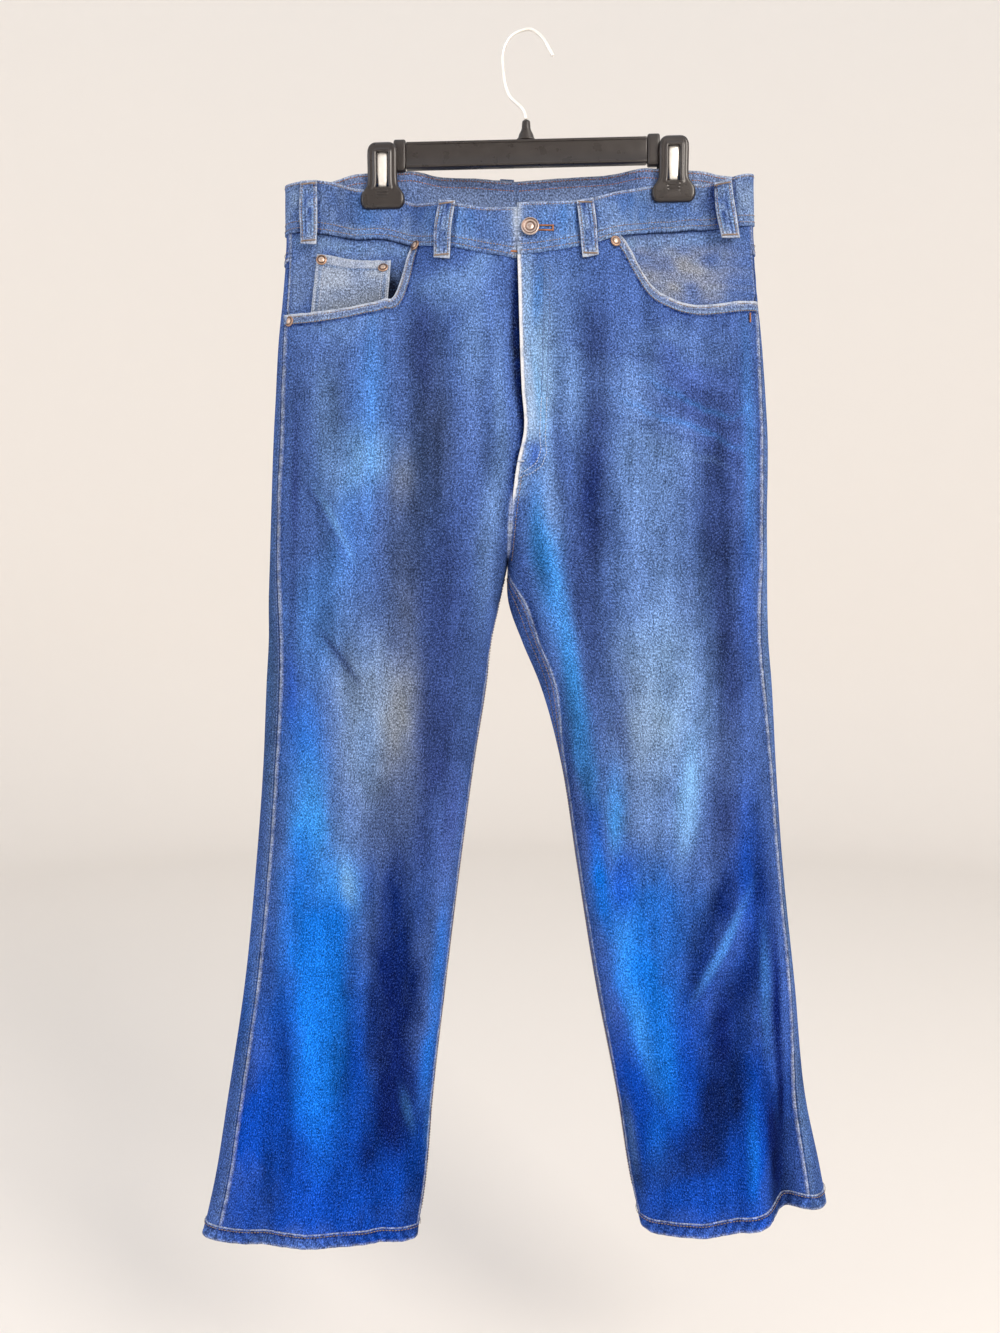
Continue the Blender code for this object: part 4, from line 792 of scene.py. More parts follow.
def denim_material(name):
    """Right-hand twill denim, its warp dyed with indigo on the outside of the yarn only, washed
    and worn. Rubbing bares the white heart of the yarn, so the dye comes from the colour attribute.
    tone = low + (high - low) * speck ^ power + the other grains, drawn to 1 where the dye is pale.
    The grains are in the piece's own UV millimetres, so that they run with the warp."""
    material, tree, output = new_material(name)
    uv = node(tree, "ShaderNodeUVMap", {"uv_map": "cloth"}).outputs["UV"]
    dye_and_painted_light = node(tree, "ShaderNodeAttribute", {"attribute_name": "dye_and_painted_light"}).outputs["Color"]
    slant = node(tree, "ShaderNodeMapping", {"vector_type": "TEXTURE"}, {
        "Vector": uv, "Rotation": (0, 0, math.radians(WALE_SLANT)), "Scale": (1, 1, 1),
    })
    wave = node(tree, "ShaderNodeTexWave", {"bands_direction": "X"}, {
        "Vector": slant.outputs["Vector"], "Scale": WALE_SCALE, "Distortion": 1.6, "Detail": 2.0,
        "Detail Scale": 1.4,
    })
    twill = node(tree, "ShaderNodeMapRange", None, (wave.outputs["Fac"], 0.0, 1.0, -1.0, 1.0))
    levels, shares = {"twill": twill.outputs["Result"]}, {"twill": WALE_SHARE}
    for grain, (across, down, detail, rough, lowest, share) in GRAINS.items():
        scaled = node(tree, "ShaderNodeVectorMath", {"operation": "MULTIPLY"},
                      (uv, (1 / across, 1 / down, 1.0)))
        fac = node(tree, "ShaderNodeTexNoise", None, {
            "Vector": scaled.outputs["Vector"], "Scale": 1.0, "Detail": detail, "Roughness": rough,
        }).outputs["Fac"]
        spread = node(tree, "ShaderNodeMapRange", None, (fac, lowest, 1 - lowest, -1.0, 1.0))
        levels[grain], shares[grain] = spread.outputs["Result"], share
    half = node(tree, "ShaderNodeMapRange", None, (levels["speck"], -1.0, 1.0, 0.0, 1.0))
    lifted = node(tree, "ShaderNodeMath", {"operation": "POWER"}, (half.outputs[0], SPECK_POWER))
    tone = node(tree, "ShaderNodeMapRange", None, (lifted.outputs[0], 0.0, 1.0, *SPECK_TONES))
    for grain in ("slub", "streak", "blotch", "twill"):
        tone = node(tree, "ShaderNodeMath", {"operation": "MULTIPLY_ADD"},
                    (levels[grain], shares[grain], tone.outputs[0]))
    grey = node(tree, "ShaderNodeRGBToBW", None, (dye_and_painted_light,)).outputs["Val"]
    bareness = node(tree, "ShaderNodeMapRange", None, (grey, *BARE_FROM, 0.0, BARE_MOST))
    short = node(tree, "ShaderNodeMath", {"operation": "SUBTRACT"}, (1.0, tone.outputs[0]))
    tone = node(tree, "ShaderNodeMath", {"operation": "MULTIPLY_ADD"},
                (short.outputs[0], bareness.outputs[0], tone.outputs[0]))
    shaded = node(tree, "ShaderNodeVectorMath", {"operation": "SCALE"},
                  {0: dye_and_painted_light, "Scale": tone.outputs[0]})
    weft = node(tree, "ShaderNodeMapRange", None, (levels["speck"], 0.4, 1.0, 0.0, WEFT_SHOWS))
    mixed = node(tree, "ShaderNodeMix", {"data_type": "RGBA"}, {
        "Factor": weft.outputs[0], 6: shaded.outputs["Vector"], 7: (*DYES_AND_PAINTED_LIGHT["fleck"], 1.0),
    })
    height = node(tree, "ShaderNodeMath", {"operation": "MULTIPLY_ADD"},
                  (levels["twill"], 0.4, levels["speck"]))
    bumped = node(tree, "ShaderNodeBump", None, {
        "Strength": 0.35, "Distance": 0.0003, "Height": height.outputs[0],
    })
    shader = node(tree, "ShaderNodeBsdfPrincipled", None, {
        "Base Color": mixed.outputs[2], "Roughness": 0.92, "Normal": bumped.outputs["Normal"],
        "Specular IOR Level": 0.02,
    })
    return shown(material, tree, output, shader)


def spots_on(tree, size):
    """Noise in spots of a size in millimetres, in the object's own coordinates."""
    return node(tree, "ShaderNodeTexNoise", None, {
        "Vector": node(tree, "ShaderNodeTexCoord").outputs["Object"], "Scale": 1 / (size * MM),
        "Detail": 3.0, "Roughness": 0.6,
    }).outputs["Fac"]


def plain_material(name, colour, roughness, metallic=0.0, mottle=0.0, size=6.0, bump=0.0):
    """One colour, lighter and darker by the mottle in spots of a size in millimetres."""
    material, tree, output = new_material(name)
    spots = spots_on(tree, size)
    gain = node(tree, "ShaderNodeMapRange", None, (spots, 0.3, 0.7, 1 - mottle, 1 + mottle))
    uneven = node(tree, "ShaderNodeMapRange", None,
                  (spots, 0.3, 0.7, roughness * 0.85, roughness * 1.15))
    tinted = node(tree, "ShaderNodeVectorMath", {"operation": "SCALE"},
                  {0: tuple(linear(colour)), "Scale": gain.outputs["Result"]})
    bumped = node(tree, "ShaderNodeBump", None, {
        "Strength": bump, "Distance": 0.0003, "Height": spots,
    }).outputs["Normal"]
    shader = node(tree, "ShaderNodeBsdfPrincipled", None, {
        "Base Color": tinted.outputs["Vector"], "Metallic": metallic, "Normal": bumped,
        "Roughness": uneven.outputs["Result"],
    })
    return shown(material, tree, output, shader)


def plated_metal(name, roughness, spot=1.1, tarnish=(0.72, 1.2)):
    """Copper plate on brass, tumbled and then worn. The plate has rubbed off the high rings and
    darkened in the low ones, so the colour comes ring by ring from the colour attribute, which on
    the button also holds painted shade in its grooves and under its cap, and the tarnish makes
    spots of a size in millimetres."""
    material, tree, output = new_material(name)
    dye_and_painted_light = node(tree, "ShaderNodeAttribute", {"attribute_name": "dye_and_painted_light"}).outputs["Color"]
    spots = spots_on(tree, spot)
    gain = node(tree, "ShaderNodeMapRange", None, (spots, 0.3, 0.7, *tarnish))
    tinted = node(tree, "ShaderNodeVectorMath", {"operation": "SCALE"},
                  {0: dye_and_painted_light, "Scale": gain.outputs["Result"]})
    shader = node(tree, "ShaderNodeBsdfPrincipled", None, {
        "Base Color": tinted.outputs["Vector"], "Metallic": 0.75, "Roughness": roughness,
    })
    return shown(material, tree, output, shader)


DENIM = denim_material("worn_indigo_denim")
# Sewing thread is spun polyester: soft and dull, and faded unevenly along the seam.
THREADS = {
    "tan": plain_material("spun_thread_tan", "#7c6a5c", 0.85, mottle=0.4, size=9.0),
    "orange": plain_material("spun_thread_orange", "#96603a", 0.8, mottle=0.35, size=5.0),
    "pale": plain_material("spun_thread_pale", "#a9b2c6", 0.85, mottle=0.3, size=9.0),
    "blue": plain_material("spun_thread_blue", "#5f76a4", 0.85, mottle=0.35, size=9.0),
}
METAL = plated_metal("worn_copper_plate", 0.36)
PLASTIC = plain_material(  # fresh from its mould, with faint flow marks
    "moulded_polypropylene", "#2b2624", 0.30, mottle=0.12, size=14.0, bump=0.02)
STEEL = plain_material("rolled_spring_steel", "#ece9e2", 0.40, 0.7, mottle=0.06, size=5.0)
print("Materials:", len(bpy.data.materials))

# %% [markdown]
# ## Meshes from grids
#
# Every new piece is a grid of points worked out at once. A sheet of cloth is an outer grid, an
# inner grid and the rim that joins them. A Solidify modifier could give it a wall, but here the
# wall is known at every point, and the inner face can have its own dye.

# %% Mesh makers


def add_mesh(name, points, quads, material, corners_uv=None, dye_and_painted_light=None):
    """A closed mesh from arrays, in its own place. Points are in millimetres. The volume, summed
    as a . (b x c) over its triangles, is negative if the faces point in, and then they turn."""
    points = np.asarray(points, float)
    corners = points[quads] - points.mean(axis=0)
    a, b, c, d = corners[:, 0], corners[:, 1], corners[:, 2], corners[:, 3]
    if (np.cross(b, c) + np.cross(c, d)).ravel() @ a.ravel() < 0:
        quads = quads[:, ::-1]
    mesh = bpy.data.meshes.new(name)
    mesh.vertices.add(len(points))
    mesh.vertices.foreach_set("co", (np.asarray(points) * MM).astype(np.float32).ravel())
    mesh.loops.add(quads.size)
    mesh.loops.foreach_set("vertex_index", quads.astype(np.int32).ravel())
    mesh.polygons.add(len(quads))
    sides = quads.shape[1]
    mesh.polygons.foreach_set("loop_start", np.arange(0, quads.size, sides, dtype=np.int32))
    mesh.polygons.foreach_set("use_smooth", np.ones(len(quads), bool))
    mesh.update(calc_edges=True)
    if corners_uv is not None:
        layer = mesh.uv_layers.new(name="cloth")
        layer.uv.foreach_set("vector", corners_uv[quads.ravel()].astype(np.float32).ravel())
    if dye_and_painted_light is not None:
        colours = np.ones((len(points), 4), np.float32)
        colours[:, :3] = dye_and_painted_light
        layer = mesh.attributes.new("dye_and_painted_light", "FLOAT_COLOR", "POINT")
        layer.data.foreach_set("color", colours.ravel())
    mesh.materials.append(material)
    made = add_object(name, mesh)
    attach(made, "root")
    return made


def grid_quads(rows, columns, closed=False):
    """Quads of a grid of points, numbered row by row."""
    r = np.arange(rows - 1)[:, None]
    c = np.arange(columns if closed else columns - 1)[None, :]
    right = (c + 1) % columns
    corners = [r * columns + c, r * columns + right, (r + 1) * columns + right,
               (r + 1) * columns + c]
    return np.stack(np.broadcast_arrays(*corners), axis=-1).reshape(-1, 4)


def shell_quads(rows, columns):
    """Quads of an outer grid, of an inner grid that follows it, and of the rim between them."""
    count = rows * columns
    outer = grid_quads(rows, columns)
    inner = outer[:, ::-1] + count
    ring = np.concatenate([
        np.arange(columns - 1),
        np.arange(rows - 1) * columns + columns - 1,
        (rows - 1) * columns + np.arange(columns - 1, 0, -1),
        np.arange(rows - 1, 0, -1) * columns,
    ])
    after = np.roll(ring, -1)
    rim = np.stack([after, ring, ring + count, after + count], axis=-1)
    return np.concatenate([outer, inner, rim])


CLOTH_WALL = 1.5


def add_sheet(name, node_name, side, t, z, u, face, dye_and_painted_light, inside=None, wall=CLOTH_WALL):
    """A sheet of cloth on the form, in place of a node. Its outer face is cloth + normal * face
    and its inner one cloth + normal * (face - wall). u is the way across in millimetres, and
    inside is the dye of its reverse. It is as wide and as long as its rows and columns, on the
    mean."""
    inside = dyed(t.shape, "reverse") if inside is None else inside
    face = np.broadcast_to(face, t.shape)
    place, normal = face_and_normal(side, t, z)
    outer = place + normal * face[..., None]
    inner = place + normal * (face - wall)[..., None]
    rows, columns = t.shape
    points = np.concatenate([outer.reshape(-1, 3), inner.reshape(-1, 3)])
    uv = np.stack([np.broadcast_to(u, t.shape), z], axis=-1).reshape(-1, 2)
    colours = np.concatenate([dye_and_painted_light.reshape(-1, 3), inside.reshape(-1, 3)])
    quads = shell_quads(rows, columns)
    made = add_mesh(name, points, quads, DENIM, np.concatenate([uv, uv]), colours)
    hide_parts(node_name)
    return made


print("Quads of a shell 3 by 4:", len(shell_quads(3, 4)))

# %% [markdown]
# ## The two fronts
#
# Each front is one panel of denim from the side seam to the inseam and up to the band, with its
# pocket mouth cut out. A panel could be modelled flat and bent, but a grid laid straight on the
# form keeps every seam where the solids have it. The turned edges stand a little proud and pucker
# where they are sewn, and they are where the dye goes first.

# %% Edges and shares
SIDES = ("right", "left")
LAP = 3.0  # a panel runs this far in under the piece sewn over it
RIDGE_HEIGHT, RIDGE_WIDTH = 0.55, 3.4
PUCKER_HEIGHT, PUCKER_WIDTH, PUCKER_LENGTH = 0.34, 9.0, 5.5


def ridge(distance, along, height=RIDGE_HEIGHT, width=RIDGE_WIDTH, pucker=PUCKER_HEIGHT):
    """A turned and sewn edge: height * exp(-(d / width)^2), and puckers that fade more slowly."""
    lift = height * np.exp(-((distance / width) ** 2))
    rough = noise(along, distance, PUCKER_LENGTH, 14.0, 31.0)
    return lift + pucker * rough * np.exp(-((distance / PUCKER_WIDTH) ** 2))


def panel_top(side, part, shares):
    """The seam under the band at shares across a panel."""
    t = t_at(side, part, shares, np.full(shares.shape, SEAM_LEVEL))
    return waist_seam(side, t)


def panel_bottom(side, part, shares):
    """The hem's seam at shares across a panel."""
    t = t_at(side, part, shares, np.full(shares.shape, HEM_LEVEL))
    return hem_seam(side, t)


def mouth_edge(side, shares):
    """The height of the pocket mouth's edge at shares across the front."""
    return table(MOUTH[side], ("share", "z"), "z", shares)


def yoke_seam(side, shares):
    """A straight line from the side to the lower centre back, so that the two make a V."""
    drop = YOKE_DROP_AT_SIDE + (YOKE_DROP_AT_CENTRE - YOKE_DROP_AT_SIDE) * shares
    return panel_top(side, "back", shares) - drop


def laid(side, part, shares, z, width):
    """Millimetres across the panel and t of each point of its grid."""
    return np.broadcast_to(shares * width, z.shape), t_at(side, part, shares, z)


def rows_between(top, bottom, count):
    """Heights of a grid's rows, evenly spaced from top to bottom."""
    return top + (bottom - top) * np.linspace(0, 1, count)[:, None]


def distance_to(u, z, line_u, line_z):
    """The distance of each grid point from a line drawn on the flat panel."""
    nearest = np.full(u.shape, 1e9)
    for a, b in zip(line_u, line_z):
        nearest = np.minimum(nearest, (u - a) ** 2 + (z - b) ** 2)
    return np.sqrt(nearest)


print("Yoke seam at the centre back:", yoke_seam("right", np.array([1.0])).round(1))

# %% Fronts
FRONT_SHARES = np.concatenate([
    np.linspace(0, 0.42, 41), np.linspace(0.42, 0.62, 36)[1:], np.linspace(0.62, 0.975, 40)[1:],
    np.linspace(0.975, 1, 10)[1:],
])[None, :]
PLAIN_LEVEL = -325.0  # below it the rows are level, above it they follow the mouth
TRIM_WIDTH, TRIM_PROUD = 9.0, 0.9  # the turned and double-sewn edge of a pocket's mouth
FRONT_ROWS = (42, 262)


def front_panel(side):
    """The grid runs from the mouth, or from the band beside it, to the hem."""
    shares = FRONT_SHARES
    beside = shares > MOUTH_END[side] - 1e-6
    mouth = mouth_edge(side, np.minimum(shares, MOUTH[side][-1][0]))
    corner = smooth((shares - MOUTH[side][-1][0]) / (MOUTH_END[side] - MOUTH[side][-1][0]))
    band = panel_top(side, "front", shares) + LAP
    top = np.where(beside, band, mouth * (1 - corner) + band * corner)
    bottom = panel_bottom(side, "front", shares) - LAP
    level = np.full_like(top, PLAIN_LEVEL)
    z = np.concatenate([
        rows_between(top, level, FRONT_ROWS[0]), rows_between(level, bottom, FRONT_ROWS[1])[1:],
    ])
    u, t = laid(side, "front", shares, z, FRONT_WIDTH)
    place = cloth(side, t, z)
    line = np.linspace(0, MOUTH[side][-1][0], 160)
    d_mouth = distance_to(u, z, line * FRONT_WIDTH, mouth_edge(side, line))
    d_mouth = np.where(u > FRONT_WIDTH * 0.8, 1e3, d_mouth)
    d_side, d_in = u, FRONT_WIDTH - u
    in_leg = smooth((FLY_END_Z - 20 - z) / 20)
    face = ridge(d_side, z, 0.8, 3.0) + ridge(d_in, z + 300) * in_leg
    trim = 1 - smooth((d_mouth - TRIM_WIDTH + 1) / 2)
    face = face + TRIM_PROUD * trim + ridge(d_mouth, u + z, 0.3, 3.0, 0.6)
    on_fly = 1 - in_leg
    face = face + ridge(d_in, z, 0.9, 5.0) * on_fly * (side == "left")
    d_band = panel_top(side, "front", shares) - z
    face = face + 0.25 * noise(u, z * 0, 6.0, 1.0, 33.0) * np.exp(-((d_band / 12) ** 2))
    dye_and_painted_light = paint(side, "front", place[..., 0], z)
    # Painted shade: the dark lines beside the side seam and the inseam; the pale ones are worn
    # edges.
    dye_and_painted_light = edge_wear_and_shade(dye_and_painted_light, np.abs(d_side - 5.0), 2.4, 0.35, z + 90, "ink_and_shade")
    dye_and_painted_light = edge_wear_and_shade(dye_and_painted_light, np.abs(d_side - 1.0), 1.4, 1.3, z)
    dye_and_painted_light = edge_wear_and_shade(dye_and_painted_light, np.abs(d_in - 5), 2.4, 0.30 * in_leg, z + 90, "ink_and_shade")
    dye_and_painted_light = edge_wear_and_shade(dye_and_painted_light, np.abs(d_in - 1.2), 1.3, 0.7 * in_leg, z)
    dye_and_painted_light = blend(dye_and_painted_light, trim * (0.85 + 0.3 * noise(u, z, 6, 6, 34)), "trim")
    # Painted shade between the trim's rows of stitches, just outside the raised trim and under the
    # band.
    dye_and_painted_light = edge_wear_and_shade(dye_and_painted_light, np.abs(d_mouth - 5.2), 1.0, 0.6, u + z, "deep_shade")
    dye_and_painted_light = edge_wear_and_shade(dye_and_painted_light, np.abs(d_mouth - 7.8), 0.9, 0.6, u + z, "frost")
    dye_and_painted_light = edge_wear_and_shade(dye_and_painted_light, d_mouth, 2.2, 1.5, u + z)
    dye_and_painted_light = edge_wear_and_shade(dye_and_painted_light, np.abs(d_mouth - TRIM_WIDTH - 1.0), 1.3, 1.1, u + z, "ink_and_shade")
    dye_and_painted_light = edge_wear_and_shade(dye_and_painted_light, np.maximum(d_band, 0), 1.5, 1.0, u, "ink_and_shade")
    if side == "left":
        dye_and_painted_light = edge_wear_and_shade(dye_and_painted_light, np.abs(d_in - 6), 8.0, 0.6 * on_fly, z, "frost")
        dye_and_painted_light = edge_wear_and_shade(dye_and_painted_light, d_in, 2.8, 2.4 * on_fly, z, "bone")
        dye_and_painted_light = edge_wear_and_shade(dye_and_painted_light, np.abs(d_in - 3.6), 0.7, 0.8 * on_fly, z, "worn")
    else:
        # Painted shadow beside the fly's folded edge.
        dye_and_painted_light = edge_wear_and_shade(dye_and_painted_light, d_in, 6.0, 1.1 * on_fly, z, "ink_and_shade")
    return add_sheet(f"denim_front_{side}", f"front_{side}", side, t, z, u, face, dye_and_painted_light)


for side in SIDES:
    made = front_panel(side)
    print(made.name, len(made.data.polygons), "faces")

# %% [markdown]
# ## The hidden back
#
# The photo doesn't show it, so it is finished as plainly as the source has it: two backs, and a
# yoke and a patch pocket on each. They are grids on the form like the fronts, because a mirrored
# front would bring its mouth along. Wear follows the seat and the backs of the knees.

# %% Backs, yokes and back pockets
BACK_SHARES = np.linspace(0, 1, 84)[None, :]
BACK_ROWS = 236


def back_panel(side):
    """From under the yoke to the hem, with a ridge along each long seam."""
    shares = BACK_SHARES
    top = yoke_seam(side, shares) + LAP
    bottom = panel_bottom(side, "back", shares) - LAP
    z = rows_between(top, bottom, BACK_ROWS)
    u, t = laid(side, "back", shares, z, BACK_WIDTH)
    place = cloth(side, t, z)
    d_side, d_in, d_yoke = u, BACK_WIDTH - u, top - LAP - z
    face = ridge(d_side, z, 0.3) + ridge(d_in, z + 50)
    dye_and_painted_light = paint(side, "back", place[..., 0], z)
    # Painted shade beside the side seam and under the yoke's edge; the pale lines are worn edges.
    dye_and_painted_light = edge_wear_and_shade(dye_and_painted_light, d_side, 1.8, 0.9, z + 40, "ink_and_shade")
    dye_and_painted_light = edge_wear_and_shade(dye_and_painted_light, np.abs(d_side - 5.0), 1.6, 0.35, z, "pale")
    dye_and_painted_light = edge_wear_and_shade(dye_and_painted_light, np.abs(d_in - 1.2), 1.2, 0.5, z)
    dye_and_painted_light = edge_wear_and_shade(dye_and_painted_light, np.maximum(d_yoke, 0), 2.6, 0.45, u, "ink_and_shade")
    return add_sheet(f"denim_back_{side}", f"back_{side}", side, t, z, u, face, dye_and_painted_light)


def yoke(side):
    """From the band to its own seam, where it lies over the back panel."""
    shares = BACK_SHARES
    z = rows_between(panel_top(side, "back", shares) + LAP, yoke_seam(side, shares), 22)
    u, t = laid(side, "back", shares, z, BACK_WIDTH)
    place = cloth(side, t, z)
    low = z - yoke_seam(side, shares)
    face = 0.75 * np.exp(-((low / 12) ** 2)) + ridge(low, u, 0.3)
    dye_and_painted_light = paint(side, "back", place[..., 0], z)
    dye_and_painted_light = edge_wear_and_shade(dye_and_painted_light, low, 2.4, 0.6, u)
    dye_and_painted_light = edge_wear_and_shade(dye_and_painted_light, u, 2.4, 0.5, z)
    return add_sheet(f"denim_yoke_{side}", f"yoke_{side}", side, t, z, u, face, dye_and_painted_light)


POCKET_TOP_WIDTH, POCKET_FOOT_WIDTH = 158.0, 132.0
POCKET_SIDE, POCKET_POINT = 132.0, 24.0
POCKET_SLANT, POCKET_MIDDLE, POCKET_Z = -10.0, 0.50, -262.0
POCKET_FACE, POCKET_WALL = 2.2, 1.3


def back_pocket_grid(u, v):
    """Share and height of the patch at (u, v): straight sides drawn in, and a pointed foot."""
    half = (POCKET_TOP_WIDTH * (1 - v) + POCKET_FOOT_WIDTH * v) / 2 / BACK_WIDTH
    share = POCKET_MIDDLE + half * (2 * u - 1)
    height = POCKET_SIDE + POCKET_POINT * (1 - np.abs(2 * u - 1))
    return share, POCKET_Z + POCKET_SLANT * (u - 0.5) - height * v


def back_pocket(side):
    """A patch whose edges are turned under and ridged, with a wider turning at its mouth."""
    u, v = np.meshgrid(np.linspace(0, 1, 61), np.linspace(0, 1, 57))
    share, z = back_pocket_grid(u, v)
    t = t_at(side, "back", share, z)
    place = cloth(side, t, z)
    across, down = u * POCKET_TOP_WIDTH, v * POCKET_SIDE
    d_edge = np.minimum(np.minimum(across, POCKET_TOP_WIDTH - across), POCKET_SIDE - down)
    face = POCKET_FACE + ridge(d_edge, across + down, 0.35) + ridge(down, across, 0.45, 7.0)
    dye_and_painted_light = paint(side, "back", place[..., 0], z)
    dye_and_painted_light = edge_wear_and_shade(dye_and_painted_light, d_edge, 2.4, 0.6, across + down)
    dye_and_painted_light = edge_wear_and_shade(dye_and_painted_light, down, 3.0, 0.8, across)
    return add_sheet(f"denim_back_pocket_{side}", f"back_pocket_{side}", side, t, z, across, face,
                     dye_and_painted_light, wall=POCKET_WALL)


for side in SIDES:
    for build in (back_panel, yoke, back_pocket):
        made = build(side)
        print(made.name, len(made.data.polygons), "faces")

# %% [markdown]
# ## Waistband, hems and loops
#
# The band is two layers, so it is thicker and stands proud. A chain-stitched hem twists as it
# shrinks, and the twist wears into slanting pale ropes. A bump map could draw the ropes, but the
# hem's outline shows them too, so a wave moves the cloth itself.

# %% Waistband
LOOP_WIDTH, LOOP_WALL, LOOP_BOW = 15.5, 1.6, 2.2
LOOP_UNDER, LAY_GAP = 12.0, 0.5
LOOPS = {  # side, part, share across at the top and at the foot, and rise over the band
    "front_right": ("right", "front", 0.731, 0.692, 0.6),
    "side_right": ("right", "front", 0.098, 0.102, -0.6),
    "front_left": ("left", "front", 0.740, 0.712, -1.6),
    "side_left": ("left", "front", 0.114, 0.104, -1.6),
    "centre_back": ("right", "back", 0.965, 0.965, 3.0),
}
BAND_PROUD, BAND_WALL = 1.0, 2.8
BAND_FINE = (20, 230)
# The darkest spot, by the left side loop, is painted shade.
BAND_FADE = {  # how far it has faded, and where the dye differs: dye, across, half width, amount
    "right": (0.28, (("bright", 60.0, 34.0, 0.45), ("bright", 150.0, 20.0, 0.5),
                     ("slate", 172.0, 24.0, 0.65))),
    "left": (0.42, (("bright", 40.0, 26.0, 0.6), ("bright", 128.0, 40.0, 0.4),
                    ("slate", 142.0, 24.0, 0.7), ("deep_shade", 201.0, 18.0, 1.5))),
}


def band(side):
    """From the centre front round to the centre back, proud of the panels, with a ridge at each
    edge. Both its faces show over the front, so the inner one has its own dye."""
    shares = np.linspace(0, 1, BAND_FINE[1])[None, :]
    t = t_at(side, "band", shares, np.full(shares.shape, SEAM_LEVEL))
    top, foot = band_top(side, t), waist_seam(side, t)
    z = rows_between(top, foot, BAND_FINE[0])
    u, t = laid(side, "band", shares, z, BAND_LENGTH)
    d_top, d_foot = top - z, z - foot
    face = BAND_PROUD + ridge(d_top, u, 0.35, 4.0, 0.3) + ridge(d_foot, u + 40, 0.3, 3.5, 0.3)
    end = np.minimum(u, BAND_LENGTH - u)
    face = face + 0.3 * np.exp(-((end / 3) ** 2))
    faded, kept = BAND_FADE[side]
    cloudy = faded + 0.5 * noise(u, z, 42, 30, 41) + 0.25 * noise(u, z, 9, 12, 43)
    dye_and_painted_light = blend(dyed(z.shape, "hip"), cloudy, "pale")
    for shade, at_u, half, amount in kept:
        dye_and_painted_light = edge_wear_and_shade(dye_and_painted_light, np.abs(u - at_u) + 0.35 * np.abs(d_top - 14), half, amount, u, shade)
    dye_and_painted_light = edge_wear_and_shade(dye_and_painted_light, d_top, 1.6, 0.7, u)
    # Painted shade in lines beside the stitching below the top and above the foot.
    dye_and_painted_light = edge_wear_and_shade(dye_and_painted_light, np.abs(d_top - 5.5), 1.6, 0.3, u, "deep_shade")
    for level in (1.4, 6.2, 11.0):
        dye_and_painted_light = edge_wear_and_shade(dye_and_painted_light, np.abs(d_foot - level), 1.3, 0.42, u + level, "pale")
    dye_and_painted_light = edge_wear_and_shade(dye_and_painted_light, np.abs(d_foot - 3.8), 0.9, 0.35, u, "deep_shade")
    dye_and_painted_light = edge_wear_and_shade(dye_and_painted_light, end, 3.0, 1.0, z)
    dye_and_painted_light = edge_wear_and_shade(dye_and_painted_light, end, 12.0, 0.45, z, "pale")
    place = cloth(side, t, z)[..., 0]
    for on_side, part, at_top, at_foot, _ in LOOPS.values():
        if on_side == side and part == "front":
            v = (top - z) / (top - foot + LOOP_UNDER)
            middle = t_at(side, part, at_top + (at_foot - at_top) * v, z)
            beside = np.abs(place - cloth(side, middle, z)[..., 0]) - LOOP_WIDTH / 2
            # Painted shadow on the band beside each loop.
            dye_and_painted_light = edge_wear_and_shade(dye_and_painted_light, np.abs(beside - 0.8), 1.5, 0.9, z, "ink_and_shade")
    inside = blend(dyed(z.shape, "hip"), 0.45 + 0.4 * noise(u, z, 60, 22, 42), "trim")
    inside = edge_wear_and_shade(inside, d_top, 1.8, 0.8, u)
    # Painted shade between the rows of stitching inside the top.
    inside = edge_wear_and_shade(inside, np.abs(d_top - 6.5), 1.2, 0.5, u, "deep_shade")
    inside = edge_wear_and_shade(inside, d_foot, 4.0, 0.4, u, "pale")
    return add_sheet(f"denim_band_{side}", f"waistband_{side}", side, t, z, u, face, dye_and_painted_light, inside,
                     wall=BAND_WALL)


# %% Hems
HEM_WALL, HEM_PROUD = 2.4, 0.5
ROPE_PITCH, ROPE_HEIGHT, ROPE_SHADE = 11.0, 0.18, 0.30


def hem(side, part):
    """A turned-up edge, ridged at both rims. Its rope is a slanting wave: the sine of 2 pi (u +
    0.8 z + noise) / pitch, which lifts, wears and shades it."""
    shares = np.linspace(0, 1, 110)[None, :]
    t = t_at(side, part, shares, np.full(shares.shape, HEM_LEVEL))
    top, foot = hem_seam(side, t), edge(HEM_Z[side], t)
    z = rows_between(top, foot, 12)
    u, t = laid(side, part, shares, z, HEM_WIDTH)
    rope = np.sin(2 * np.pi * (u + 0.8 * z + 6 * noise(u, z, 22, 40, 51)) / ROPE_PITCH)
    face = HEM_PROUD + ROPE_HEIGHT * rope
    face = face + ridge(z - foot, u, 0.2, 3.0) + ridge(top - z, u, 0.4, 2.0)
    place = cloth(side, t, z)
    dye_and_painted_light = paint(side, part, place[..., 0], z)
    worn = np.clip(0.05 + 0.28 * rope + 0.3 * noise(u, z, 9, 9, 52), 0, 1)
    dye_and_painted_light = blend(dye_and_painted_light, 0.45 * worn, "worn")
    dye_and_painted_light = dye_and_painted_light * (1 + ROPE_SHADE * rope)[..., None]
    dye_and_painted_light = edge_wear_and_shade(dye_and_painted_light, z - foot, 1.4, 0.6, u)
    dye_and_painted_light = edge_wear_and_shade(dye_and_painted_light, top - z, 0.9, 0.8, u)
    # Painted shade just below the hem's top stitching.
    dye_and_painted_light = edge_wear_and_shade(dye_and_painted_light, np.abs(top - z - 3.2), 1.5, 1.0, u, "ink_and_shade")
    return add_sheet(f"denim_hem_{side}_{part}", f"hem_{side}_{part}", side, t, z, u, face, dye_and_painted_light,
                     wall=HEM_WALL)


# %% Belt loops
LOOP_LENGTH = 60.0


